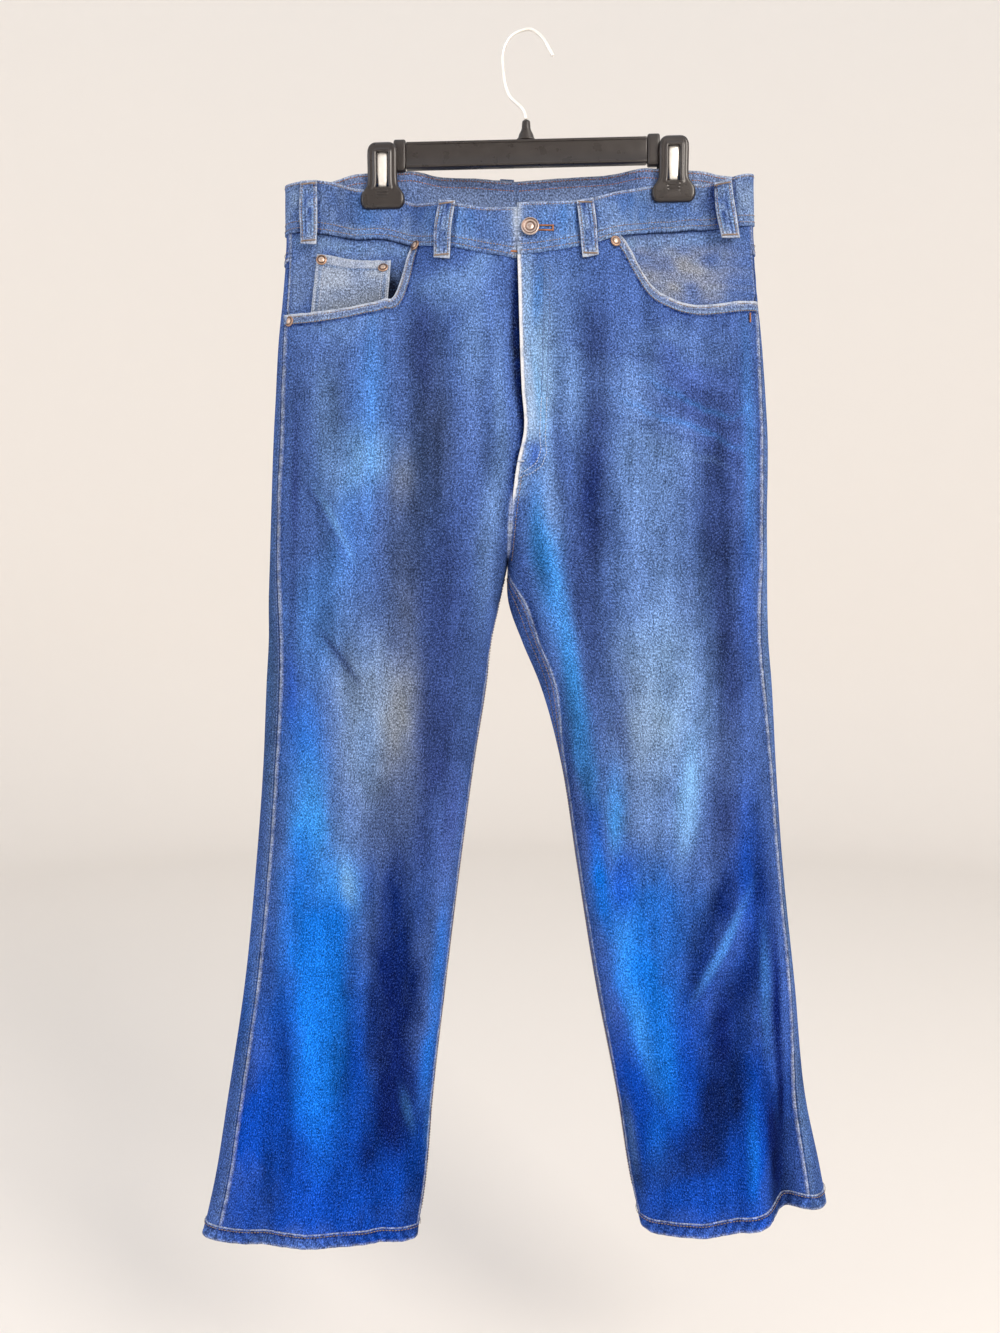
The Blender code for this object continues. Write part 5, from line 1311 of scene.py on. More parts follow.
def loop_place(name, off, v):
    """t, z and the height out of a loop at off millimetres from its middle line and share v down
    it. Its ends are sewn down and it bows between them."""
    side, part, at_top, at_foot, rise = LOOPS[name]
    width = FRONT_WIDTH if part == "front" else BACK_WIDTH
    level = np.full(np.broadcast(off, v).shape, SEAM_LEVEL)
    at_band = t_at(side, part, (at_top + at_foot) / 2 + off / width, level)
    top = band_top(side, at_band) + rise
    bottom = waist_seam(side, at_band) - LOOP_UNDER
    z = top + (bottom - top) * v
    t = t_at(side, part, at_top + (at_foot - at_top) * v + off / width, z)
    bow = LOOP_BOW * np.sin(np.pi * v) ** 2
    return t, z, BAND_PROUD + LAY_GAP + LOOP_WALL + bow


def belt_loop(name):
    """A folded strip, sewn down at both ends, worn pale along its edges and at its foot."""
    off, v = np.meshgrid(np.linspace(-0.5, 0.5, 15) * LOOP_WIDTH, np.linspace(0, 1, 64))
    t, z, face = loop_place(name, off, v)
    side = LOOPS[name][0]
    d_edge = LOOP_WIDTH / 2 - np.abs(off)
    face = face + ridge(d_edge, z, 0.35, 2.2, 0.25)
    down = v * LOOP_LENGTH
    dye_and_painted_light = blend(dyed(z.shape, "base"), 0.42 + 0.5 * noise(off, z, 4.0, 7.0, 47), "pale")
    # Painted shade in lines along the loop, beside its stitching and nearer its middle.
    dye_and_painted_light = edge_wear_and_shade(dye_and_painted_light, np.abs(d_edge - 5.2), 0.9, 0.7, z, "deep_shade")
    dye_and_painted_light = edge_wear_and_shade(dye_and_painted_light, np.abs(d_edge - 3.4), 1.0, 0.45, z, "frost")
    dye_and_painted_light = edge_wear_and_shade(dye_and_painted_light, np.abs(d_edge - 1.9), 0.6, 0.5, z, "deep_shade")
    dye_and_painted_light = edge_wear_and_shade(dye_and_painted_light, d_edge, 1.0, 1.2, z)
    dye_and_painted_light = edge_wear_and_shade(dye_and_painted_light, LOOP_LENGTH - down, 5.0, 1.1, off)
    dye_and_painted_light = edge_wear_and_shade(dye_and_painted_light, down, 2.0, 0.8, off)
    # Painted shade below the top tack.
    dye_and_painted_light = edge_wear_and_shade(dye_and_painted_light, np.abs(down - 5.0), 1.4, 0.8, off, "ink_and_shade")
    return add_sheet(f"denim_loop_{name}", f"belt_loop_{name}", side, t, z, off, face, dye_and_painted_light,
                     wall=LOOP_WALL)


for side in SIDES:
    for made in (band(side), hem(side, "front"), hem(side, "back")):
        print(made.name, len(made.data.polygons), "faces")
for name in LOOPS:
    print(belt_loop(name).name)

# %% [markdown]
# ## What shows in the pocket mouths and the fly
#
# The facing is the patch of denim that a hand slides over, with the small coin pocket on the
# wearer's right. The fly's shield and the zip's tape are behind the left front's folded edge. Each
# could be cut from the cloth in front, but it lies deeper, so it is a sheet of its own on the same
# form, sunk by a few millimetres.

# %% Facings, coin pocket, shield and zip
FACING_DROP, FACING_BEYOND_MOUTH = 34.0, 0.12
FACING_EDGE_DEPTH, FACING_DEPTH = 2.2, 4.8
FACING_SINK_SHARE, FACING_SINK_HEIGHT = 0.07, 0.12
COIN_TOP = ((0.135, -221.5), (0.445, -223.5))
COIN_FOOT = ((0.122, -288.0), (0.452, -286.0))
COIN_FACE, COIN_WALL = -2.0, 1.2
COIN_WIDTH, COIN_HEIGHT = 76.0, 66.0
ZIP_WIDTH, ZIP_TOP_GAP, ZIP_END_Z, ZIP_DEPTH = 14.0, 4.0, -402.0, 2.0
SHIELD_WIDTH, SHIELD_END_Z, SHIELD_DEPTH = 46.0, -424.0, 4.0
FADE = {  # where the hand has rubbed the facing: dye, across, height and half sizes
    "right": ("facing", 62.0, -250.0, 60.0, 34.0),
    "left": ("stone", 80.0, -240.0, 58.0, 34.0),
}
# Painted shadow in the gap beside the coin pocket.
SHADOW_BY_COIN = (116.0, -263.0, 9.0, 26.0)  # the dark beside the pocket: across, height, half sizes


def pocket_facing(side):
    """From the seam under the band to below the mouth's edge. It sinks with smooth(share) *
    smooth(v), so that it meets the front along the side and the top."""
    end = MOUTH_END[side] + FACING_BEYOND_MOUTH
    shares = np.linspace(0, end, 96)[None, :]
    v = np.linspace(0, 1, 64)[:, None]
    top = panel_top(side, "front", shares) + 0.5
    mouth = mouth_edge(side, np.minimum(shares, MOUTH[side][-1][0]))
    bottom = mouth - FACING_DROP
    z = top + (bottom - top) * v
    sunk = smooth(np.minimum(shares / FACING_SINK_SHARE, 1)) * smooth(v / FACING_SINK_HEIGHT)
    above = smooth((z - mouth - 1) / 6)
    by_side = np.exp(-((shares * FRONT_WIDTH / 9) ** 2)) * above
    face = -FACING_EDGE_DEPTH - (FACING_DEPTH - FACING_EDGE_DEPTH) * sunk
    face = face * (1 - by_side)
    u, t = laid(side, "front", shares, z, FRONT_WIDTH)
    faded, at_u, at_z, wide, high = FADE[side]
    bare = np.exp(-(((u - at_u) / wide) ** 2) - ((z - at_z) / high) ** 2)
    dye_and_painted_light = blend(dyed(z.shape, "hip"), bare * (1 + 0.4 * noise(u, z, 14, 10, 61)), faded)
    dye_and_painted_light = blend(dye_and_painted_light, 0.25 * noise(u, z, 9, 7, 62), "pale")
    dye_and_painted_light = blend(dye_and_painted_light, 0.7 * noise(u, z, 22, 18, 64), "base")
    dye_and_painted_light = edge_wear_and_shade(dye_and_painted_light, np.abs(u - 1.2), 1.1, 0.9, z)
    # Painted shade beside the side seam and under the band.
    dye_and_painted_light = edge_wear_and_shade(dye_and_painted_light, np.abs(u - 4.0), 1.8, 0.5, z, "ink_and_shade")
    dye_and_painted_light = edge_wear_and_shade(dye_and_painted_light, top - z, 2.2, 1.0, u + 30, "ink_and_shade")
    dye_and_painted_light = edge_wear_and_shade(dye_and_painted_light, np.abs(top - z - 8), 6.0, 0.4, u + 30, "frost")
    if side == "right":
        # Painted shadow beside the coin pocket, near-black.
        shadow_u, shadow_z, wide, high = SHADOW_BY_COIN
        dye_and_painted_light = edge_wear_and_shade(dye_and_painted_light, np.hypot((u - shadow_u) / wide, (z - shadow_z) / high), 1.0, 3.0, u, "shadow_black")
    else:
        dye_and_painted_light = edge_wear_and_shade(dye_and_painted_light, u, 44.0, 0.9, z, "base")
    return add_sheet(f"denim_facing_{side}", f"pocket_facing_{side}", side, t, z, u, face, dye_and_painted_light)


def coin_grid(u, v):
    """Share and height of the coin pocket at (u, v), between its four corners."""
    left = COIN_TOP[0][0] * (1 - v) + COIN_FOOT[0][0] * v
    right = COIN_TOP[1][0] * (1 - v) + COIN_FOOT[1][0] * v
    upper = COIN_TOP[0][1] * (1 - u) + COIN_TOP[1][1] * u
    lower = COIN_FOOT[0][1] * (1 - u) + COIN_FOOT[1][1] * u
    return left + (right - left) * u, upper + (lower - upper) * v


def coin_pocket():
    """A patch on the facing, whose double-sewn mouth is ridged and worn to the weft."""
    u, v = np.meshgrid(np.linspace(0, 1, 46), np.linspace(0, 1, 40))
    share, z = coin_grid(u, v)
    t = t_at("right", "front", share, z)
    across, down = share * FRONT_WIDTH, v * COIN_HEIGHT
    d_edge = np.minimum(u, 1 - u) * COIN_WIDTH
    face = COIN_FACE + ridge(d_edge, z, 0.3, 3.0) + ridge(down, across, 0.5, 6.0)
    dye_and_painted_light = blend(dyed(z.shape, "trim"), 0.5 + 0.6 * noise(across, z, 16, 12, 62), "chalk")
    # Painted shade: greyer and darker towards the lower right, by the mouth's edge.
    dye_and_painted_light = blend(dye_and_painted_light, 0.85 * smooth((down + 0.3 * (across - 60) - 24) / 36), "ash")
    dye_and_painted_light = edge_wear_and_shade(dye_and_painted_light, np.abs(down - 5), 4.0, 0.5, across, "white")
    dye_and_painted_light = edge_wear_and_shade(dye_and_painted_light, down, 1.6, 1.3, across)
    dye_and_painted_light = edge_wear_and_shade(dye_and_painted_light, np.abs(down - 10.5), 1.2, 0.9, across, "worn")
    dye_and_painted_light = edge_wear_and_shade(dye_and_painted_light, np.abs(d_edge - 5.0), 1.0, 0.6, z, "worn")
    dye_and_painted_light = edge_wear_and_shade(dye_and_painted_light, d_edge, 1.4, 1.1, z)
    return add_sheet("denim_coin_pocket", "coin_pocket", "right", t, z, across, face, dye_and_painted_light,
                     wall=COIN_WALL)


def fly_layer(name, node_name, width, top_gap, end_z, depth, columns, colour):
    """A strip behind the fly, from a gap under the band to end_z, at a depth behind the cloth."""
    shares = np.linspace(1 - width / FRONT_WIDTH, 1 - 1.0 / FRONT_WIDTH, columns)[None, :]
    top = panel_top("left", "front", shares) - top_gap
    z = rows_between(top, np.full_like(top, end_z), 60)
    u, t = laid("left", "front", shares, z, FRONT_WIDTH)
    dye_and_painted_light = dyed(z.shape, colour)
    return add_sheet(name, node_name, "left", t, z, u, -depth, dye_and_painted_light, dye_and_painted_light)


for side in SIDES:
    print(pocket_facing(side).name)
print(coin_pocket().name)
print(fly_layer("denim_fly_shield", "fly_shield", SHIELD_WIDTH, 0.4, SHIELD_END_Z,
                SHIELD_DEPTH, 20, "reverse").name)
# The zip's tape is dyed the darkest blue, the same colour as the painted shade.
print(fly_layer("zip_tape", "zip_chain", ZIP_WIDTH, ZIP_TOP_GAP, ZIP_END_Z, ZIP_DEPTH, 10,
                "ink_and_shade").name)

# %% [markdown]
# ## Sewing
#
# A stitch is a small plump oval of thread. A texture would lie flat, and thread stands up and
# catches the light, so each is a mesh of a few faces. Along a line on the cloth the lengths are
# summed, and one oval is set at every pitch. Most of the thread has washed to tan or to blue.

# %% Stitches
PITCH, BAR_PITCH = 2.9, 0.75  # from stitch to stitch along a seam and in a bar tack
STITCH_HALF = (1.05, 0.30, 0.26)  # half a stitch's length, width and height
BAR_HALF = (0.45, 0.42)  # half a bar stitch's width and height
SEWN = {}
RING_AT = np.array([-1.0, -0.55, 0.55, 1.0])
RING_SIZE = np.array([0.35, 1.0, 1.0, 0.35])


def on_share(side, part, shares, z):
    """A line at shares across a panel."""
    shares, z = np.broadcast_arrays(np.asarray(shares, float), np.asarray(z, float))
    return side, t_at(side, part, shares, z), z


def on_front(side, points, steps=26):
    """A line through (x, z) points on the front, made dense."""
    x, z = np.array(points, float).T
    at = np.linspace(0, len(x) - 1, steps * (len(x) - 1) + 1)
    x, z = np.interp(at, range(len(x)), x), np.interp(at, range(len(z)), z)
    return side, np.array([t_at_x(side, a, b) for a, b in zip(x, z)]), z


def add_ovals(group, centre, along, out, half):
    """Keeps ovals for a group's mesh. half is half their length, width and height."""
    sizes = [np.full(len(centre), size) for size in half]
    SEWN.setdefault(group, []).append((centre, along, out, *sizes))


def along_line(at, length, values):
    """A line's values at lengths along it."""
    return np.stack([np.interp(at, length, values[:, k]) for k in range(3)], axis=-1)


def sew(group, place, face):
    """Adds ovals along a line at the height face out from the cloth, one for every pitch."""
    side, t, z = place
    point, normal = face_and_normal(side, t, z)
    point = point + normal * np.broadcast_to(face, t.shape)[..., None]
    length = lengths_along(point)
    at = np.arange(PITCH / 2, length[-1], PITCH)
    centre, out = along_line(at, length, point), along_line(at, length, normal)
    along = unit(along_line(at + 0.5, length, point) - along_line(at - 0.5, length, point))
    add_ovals(group, centre, along, out, STITCH_HALF)


def tack(group, side, x, z, width, height, face):
    """A bar tack: close short stitches across a bar width by height millimetres."""
    count = max(int(max(width, height) / BAR_PITCH), 4)
    upright = height > width
    spaced = np.linspace(-0.5, 0.5, count)
    xs = x + spaced * width * (not upright)
    zs = z + spaced * height * upright
    t = np.array([t_at_x(side, a, b) for a, b in zip(xs, zs)])
    point, normal = face_and_normal(side, t, zs)
    point = point + normal * face
    along = np.broadcast_to([1.0, 0, 0] if upright else [0, 0, 1.0], point.shape)
    along = unit(along - normal * (along * normal).sum(axis=1, keepdims=True))
    add_ovals(group, point, along, normal, (min(width, height) / 2, *BAR_HALF))


def stitch_mesh(name, rows, material):
    """All the ovals of a group. A ring's point is centre + along * a + across * b + out * c."""
    centre, along, out, long, wide, tall = [np.concatenate(part) for part in zip(*rows)]
    across = np.cross(out, along)
    angle = np.arange(4) * np.pi / 2 + np.pi / 4
    ring = (
        centre[:, None, None]
        + along[:, None, None] * (long[:, None] * RING_AT)[:, :, None, None]
        + across[:, None, None] * (wide[:, None] * RING_SIZE)[:, :, None, None]
        * np.cos(angle)[:, None] * math.sqrt(2)
        + out[:, None, None] * (tall[:, None] * RING_SIZE)[:, :, None, None]
        * np.sin(angle)[:, None] * math.sqrt(2)
    )
    count = len(centre)
    base = np.arange(count)[:, None, None] * 16
    body = grid_quads(4, 4, closed=True)[None] + base
    first = np.array([[3, 2, 1, 0], [12, 13, 14, 15]])[None] + base
    quads = np.concatenate([body.reshape(-1, 4), first.reshape(-1, 4)])
    points = ring.reshape(-1, 3)
    return add_mesh(name, points, quads[:, ::-1], material)


ON_PANEL = 0.42  # how far out from the cloth the middle of a stitch lies
ON_BAND = BAND_PROUD + 0.35
SEAM_FOOT = {"right": -1118.0, "left": -1092.0}
INSIDE_BAND = BAND_PROUD - BAND_WALL - 0.2
BAND_LINES = (  # thread, millimetres down from the top or up from the foot, and height out
    ("tan", "top", 2.4, ON_BAND), ("tan", "foot", 3.2, ON_BAND),
    ("orange", "top", 3.0, INSIDE_BAND), ("orange", "top", 9.5, INSIDE_BAND),
    ("orange", "foot", 4.0, INSIDE_BAND), ("tan", "foot", 9.4, ON_BAND - 0.2),
)
every = np.linspace(0.004, 0.996, 420)
for side in SIDES:
    t = t_at(side, "band", every, np.full(every.shape, SEAM_LEVEL))
    for thread, start, inset, face in BAND_LINES:
        z = band_top(side, t) - inset if start == "top" else waist_seam(side, t) + inset
        sew(("band", thread), (side, t_at(side, "band", every, z), z), face)
    line = np.linspace(0.0, MOUTH[side][-1][0], 150)
    for inset in (2.6, 8.8):
        slope_of = np.gradient(mouth_edge(side, line), line * FRONT_WIDTH)
        turn = np.sqrt(1 + slope_of**2)
        share = line + inset * slope_of / turn / FRONT_WIDTH
        z = mouth_edge(side, line) - inset / turn
        keep = (share > 0.005) & (z < panel_top(side, "front", np.clip(share, 0, 1)) - 1)
        sew(("front", "tan"), on_share(side, "front", share[keep], z[keep]), ON_PANEL + 0.75)
    for part, width in (("front", FRONT_WIDTH), ("back", BACK_WIDTH)):
        hem_share = np.linspace(0.003, 0.997, 160)
        z = panel_bottom(side, part, hem_share) - 2.2
        sew(("hems", "tan"), on_share(side, part, hem_share, z), HEM_PROUD + 0.85)
    foot = SEAM_FOOT[side]
    down = np.linspace(-290, foot, 500)
    sew(("front", "blue"), on_share(side, "back", 2.4 / BACK_WIDTH, down), ON_PANEL + 0.1)
    down = np.linspace(-520, foot, 400)
    sew(("front", "tan"), on_share(side, "back", 1 - 2.4 / BACK_WIDTH, down), ON_PANEL + 0.4)
    sew(("front", "tan"), on_share(side, "back", 1 - 8.4 / BACK_WIDTH, down), ON_PANEL)
    for inset in (2.4, 8.6):
        share = np.linspace(0.004, 0.996, 260)
        sew(("back", "tan"), on_share(side, "back", share, yoke_seam(side, share) + inset), 1.1)
        down = np.linspace(-262, -470, 200)
        if side == "left":
            line = on_share(side, "back", 1 - inset / BACK_WIDTH, down)
            sew(("back", "tan"), line, ON_PANEL + 0.2)
        edge_u = inset / POCKET_TOP_WIDTH
        edge_v = inset / POCKET_SIDE
        for u_line, v_line in (
            (np.full(120, edge_u), np.linspace(0, 1 - edge_v, 120)),
            (np.linspace(edge_u, 1 - edge_u, 160), np.full(160, 1 - edge_v)),
            (np.full(120, 1 - edge_u), np.linspace(0, 1 - edge_v, 120)),
            (np.linspace(0.01, 0.99, 140), np.full(140, edge_v * 1.4)),
        ):
            share, z = back_pocket_grid(u_line, v_line)
            sew(("back", "tan"), on_share(side, "back", share, z), POCKET_FACE + 0.4)
for name, (side, part, *_) in LOOPS.items():
    for off in (-LOOP_WIDTH / 2 + 2.3, LOOP_WIDTH / 2 - 2.3):
        v = np.linspace(0.04, 0.96, 80)
        t, z, face = loop_place(name, np.full(80, off), v)
        sew(("loops", "tan"), (side, t, z), face + 0.25)
    if part == "back":
        continue
    for v in (0.05, 0.95):
        t, z, face = loop_place(name, np.array([0.0]), np.array([v]))
        x = cloth(side, t, z)[0, 0]
        tack(("loops", "tan"), side, x, z[0], 12.0, 1.6, face[0] + 0.2)
for inset in (2.4, 8.4):
    u = np.linspace(0.02, 0.98, 80)
    share, z = coin_grid(u, np.full(80, inset / COIN_HEIGHT))
    sew(("front", "pale"), on_share("right", "front", share, z), COIN_FACE + 0.6)
    for at in (inset / COIN_WIDTH, 1 - inset / COIN_WIDTH):
        share, z = coin_grid(np.full(80, at), np.linspace(0.03, 0.97, 80))
        sew(("front", "pale"), on_share("right", "front", share, z), COIN_FACE + 0.35)

# %% Fly stitching and bar tacks
FLY_STITCH = [
    (17, -238), (16, -300), (14, -360), (12.3, -397), (13.5, -411), (9.2, -423), (-0.8, -430),
    (-10.6, -433),
]
FLY_BEND = -390.0
for off in (0.0, 5.0):
    moved = [(x - off, z + off * 0.5 * (z < FLY_BEND)) for x, z in FLY_STITCH]
    straight = [point for point in moved if point[1] > FLY_BEND]
    bend = [straight[-1]] + [point for point in moved if point[1] <= FLY_BEND]
    sew(("front", "blue"), on_front("left", straight), ON_PANEL)
    sew(("front", "pale"), on_front("left", bend), ON_PANEL + 0.1)
CROTCH_STITCH = [(-9.0, -432), (-14.0, -470), (-17.0, -505)]
sew(("front", "tan"), on_front("left", CROTCH_STITCH), ON_PANEL + 0.2)
tack(("front", "pale"), "left", -11.5, -418.5, 9.0, 1.8, 1.1)
tack(("front", "orange"), "right", -14.5, -225.9, 8.0, 1.8, 1.4)
for above in (-2.2, 2.2):
    tack(("band", "orange"), "left", 13.0, -205.0 + above, 12.0, 1.5, 1.7)
tack(("band", "orange"), "left", 19.6, -205.0, 1.6, 5.0, 1.7)
tack(("front", "orange"), "left", 203.3, -279.5, 1.8, 8.0, 1.5)
for (area, thread), rows in SEWN.items():
    made = stitch_mesh(f"stitches_{area}_{thread}", rows, THREADS[thread])
    print(made.name, sum(len(row[0]) for row in rows), "stitches")

# %% [markdown]
# ## Button, rivets and hook
#
# The caps were pressed from sheet metal and the hook was bent from round wire. Each cap is a
# profile of radius and height, spun about the direction out of the cloth, which is shorter than
# modelling by hand and stays exactly round. The hook is a circle carried along a path.

# %% Turned pieces


def stands_for(made, node_name):
    """Hides the node that a hard piece replaces, and gives back the piece."""
    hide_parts(node_name)
    return made


def lathe(name, centre, out, across, up, profile, segments, material, shades):
    """radius * (cos a * across + sin a * up) + height * out, for each profile point and angle a.
    shades gives each ring of the profile its colour."""
    profile = np.array(profile, float)
    dye_and_painted_light = np.repeat([linear(shade) for shade in shades], segments, axis=0)
    angle = circle(segments)
    spun = np.cos(angle)[:, None] * across + np.sin(angle)[:, None] * up
    points = centre + out * profile[:, 1, None, None] + spun[None] * profile[:, 0, None, None]
    quads = grid_quads(len(profile), segments, closed=True)
    return add_mesh(name, points.reshape(-1, 3), quads, material, dye_and_painted_light=dye_and_painted_light)


def frame_at(side, x, z, face):
    """A place at a height out from the front, with its directions out, across and up."""
    t = np.array([t_at_x(side, x, z)])
    place, normal = face_and_normal(side, t, np.array([float(z)]))
    place = place[0] + normal[0] * face
    across = unit(np.cross([0, 0, 1.0], normal[0]))
    return place, normal[0], across, np.cross(normal[0], across)


RIVETS = {  # side, x, z and height out
    "mouth_right": ("right", -106.7, -211.5, BAND_PROUD + 0.3),
    "mouth_left": ("left", 76.5, -215.5, BAND_PROUD),
    "coin_outer": ("right", -193.7, -227.0, COIN_FACE),
    "coin_inner": ("right", -137.5, -231.5, COIN_FACE),
    "mouth_foot": ("right", -224.3, -282.5, 0.0),
}
RIVET_PROFILE = (  # radius and height of each ring, from the rim to the middle
    (4.9, 0.0), (4.95, 0.35), (4.7, 0.7), (4.1, 1.0), (3.7, 1.05), (3.3, 0.9), (2.9, 0.95),
    (2.3, 1.45), (1.4, 1.7), (0.5, 1.75), (0.01, 1.75),
)
BUTTON_PROFILE = (
    (4.0, 0.0), (4.0, 1.6), (7.6, 1.9), (8.3, 2.3), (8.4, 2.9), (8.1, 3.6), (7.4, 4.05),
    (6.8, 4.0), (6.4, 3.6), (5.9, 3.5), (5.4, 3.6), (4.9, 3.4), (4.3, 3.45), (3.8, 3.2),
    (3.0, 3.2), (2.4, 3.45), (1.6, 3.7), (0.8, 3.8), (0.01, 3.8),
)
COPPER, DULL, BRIGHT = "#a98873", "#5a463c", "#bfa898"
RIVET_SHADES = [COPPER] * 4 + [DULL] * 3 + [BRIGHT] * 4
# Rings in SHADOW are painted shade in the button's grooves and under its cap.
ROSE, SHADOW, SILVER = "#b09a90", "#67544c", "#c9bcb4"
BUTTON_SHADES = [SHADOW, SHADOW, ROSE, ROSE, SILVER, SILVER, ROSE, SHADOW, SHADOW, ROSE, SILVER,
                 ROSE, SHADOW, SHADOW, ROSE, SILVER, ROSE, ROSE, ROSE]
for name, (side, x, z, face) in RIVETS.items():
    made = lathe(f"rivet_cap_{name}", *frame_at(side, x, z, face + LAY_GAP), RIVET_PROFILE, 40,
                 METAL, RIVET_SHADES)
    stands_for(made, f"rivet_{name}")
made = lathe("shank_button", *frame_at("left", -1.2, -205.0, BAND_PROUD + LAY_GAP), BUTTON_PROFILE,
             72, METAL, BUTTON_SHADES)
stands_for(made, "button")
print("Turned pieces:", len(RIVETS) + 1)

# %% The hook
HOOK_PATH = (  # (x, z) along the middle of the wire
    (-3.8, -84.5), (-5.5, -77.5), (-20.3, -60.5), (-23.4, -52.0), (-25.8, -35.5), (-26.5, -24.5),
    (-24.1, -14.3), (-17.8, -4.6), (-7.5, 0.6), (0.0, 1.6), (3.8, 0.0), (12.0, -6.6),
    (17.0, -15.0), (22.0, -24.2),
)
HOOK_RADIUS = 1.6


def tube(name, points, radius, steps, segments, material):
    """A round wire: a curve through the points, and at each step a circle square to it. The ends
    are domed by letting the radius fall away over the last one."""
    points = np.asarray(points, float)
    length = lengths_along(points)
    at = np.linspace(0, length[-1], steps)
    path = [table(np.column_stack([length, points[:, k]]), ("s", "v"), "v", at) for k in range(2)]
    path = np.stack([path[0], np.zeros(steps), path[1]], axis=-1)
    along = unit(np.gradient(path, axis=0))
    beside = np.cross(along, [0, 1.0, 0])
    from_end = np.minimum(at, length[-1] - at)
    dome = np.sqrt(np.clip(1 - (1 - np.clip(from_end / radius, 0, 1)) ** 2, 1e-4, 1))
    angle = circle(segments)
    ring = np.cos(angle)[:, None] * beside[:, None] + np.sin(angle)[:, None] * np.array([0, 1.0, 0])
    points = path[:, None] + ring * (radius * dome)[:, None, None]
    quads = grid_quads(steps, segments, closed=True)
    return add_mesh(name, points.reshape(-1, 3), quads, material)


made = tube("steel_hook", HOOK_PATH, HOOK_RADIUS, 260, 24, STEEL)
print(stands_for(made, "hook_wire").name)

# %% [markdown]
# ## The hanger
#
# The bar and the jaws are moulded plastic, so they have no sharp edges. Boxes with a Bevel would
# be near, but a jaw's wall, lip and ribs change down its length. So each jaw is a grid whose width
# and wall follow tables, with a slot left out of it. The bar is a rounded outline drawn out along
# its slight slope.

# %% Clips
CLIP_TILT, CLIP_HEIGHT = 0.024, 61.5
BAR_MIDDLE_X, BAR_MIDDLE_Z = -3.7, -116.5
JAW_COLUMNS_OF = ("down", "half", "inner", "wall")
JAW_ROWS = (  # down from the top: half the width, the inner face's depth and the wall
    (0.0, 5.0, 7.6, 1.6), (0.7, 8.0, 7.6, 2.2), (1.8, 10.3, 7.5, 2.9), (3.6, 12.2, 7.4, 3.4),
    (6.5, 13.6, 7.2, 3.8), (11.0, 14.1, 6.9, 4.0), (18.0, 14.1, 6.4, 4.0), (27.0, 14.0, 5.8, 3.8),
    (35.0, 14.1, 5.1, 3.7), (40.5, 15.0, 4.6, 3.8), (44.0, 17.4, 4.3, 4.0), (48.0, 20.0, 4.0, 4.2),
    (52.5, 20.9, 3.8, 4.2), (56.5, 20.4, 3.8, 3.9), (59.2, 18.9, 3.8, 3.2), (60.7, 17.0, 3.8, 2.4),
    (61.5, 14.5, 3.8, 1.6),
)
SLOT = (10.5, 42.0, -0.40, 0.40)  # from and to, down the jaw in mm and across it as shares
JAW_GRID = (84, 47)
ROUNDING = 3.4
LIP_HEIGHT, LIP_OUT, LIP_WIDTH = 0.8, 1.6, 1.2
RIB_HEIGHT, RIB_PITCH, RIB_REACH, RIB_HALF = 0.9, 3.0, 10.5, 5.2


def masked_slab(name, outer, inner, present, material):
    """A wall between two grids, without the cells that aren't present. A cell's corners are
    first, first + 1, first + columns + 1 and first + columns, and a side of it whose neighbour
    isn't present gets a rim from the outer grid to the inner one."""
    rows, columns = outer.shape[:2]
    count = rows * columns
    i, j = np.nonzero(present)
    first = i * columns + j
    front = np.stack([first, first + 1, first + columns + 1, first + columns], axis=-1)
    quads = [front, front[:, ::-1] + count]
    padded = np.pad(present, 1)
    for k, (down, over) in enumerate(((0, 1), (1, 2), (2, 1), (1, 0))):
        is_open = ~padded[i + down, j + over]
        a, b = front[is_open, k], front[is_open, (k + 1) % 4]
        quads.append(np.stack([b, a, a + count, b + count], axis=-1))
    used, index = np.unique(np.concatenate(quads), return_inverse=True)
    points = np.concatenate([outer.reshape(-1, 3), inner.reshape(-1, 3)])[used]
    return add_mesh(name, points, index.reshape(-1, 4), material)


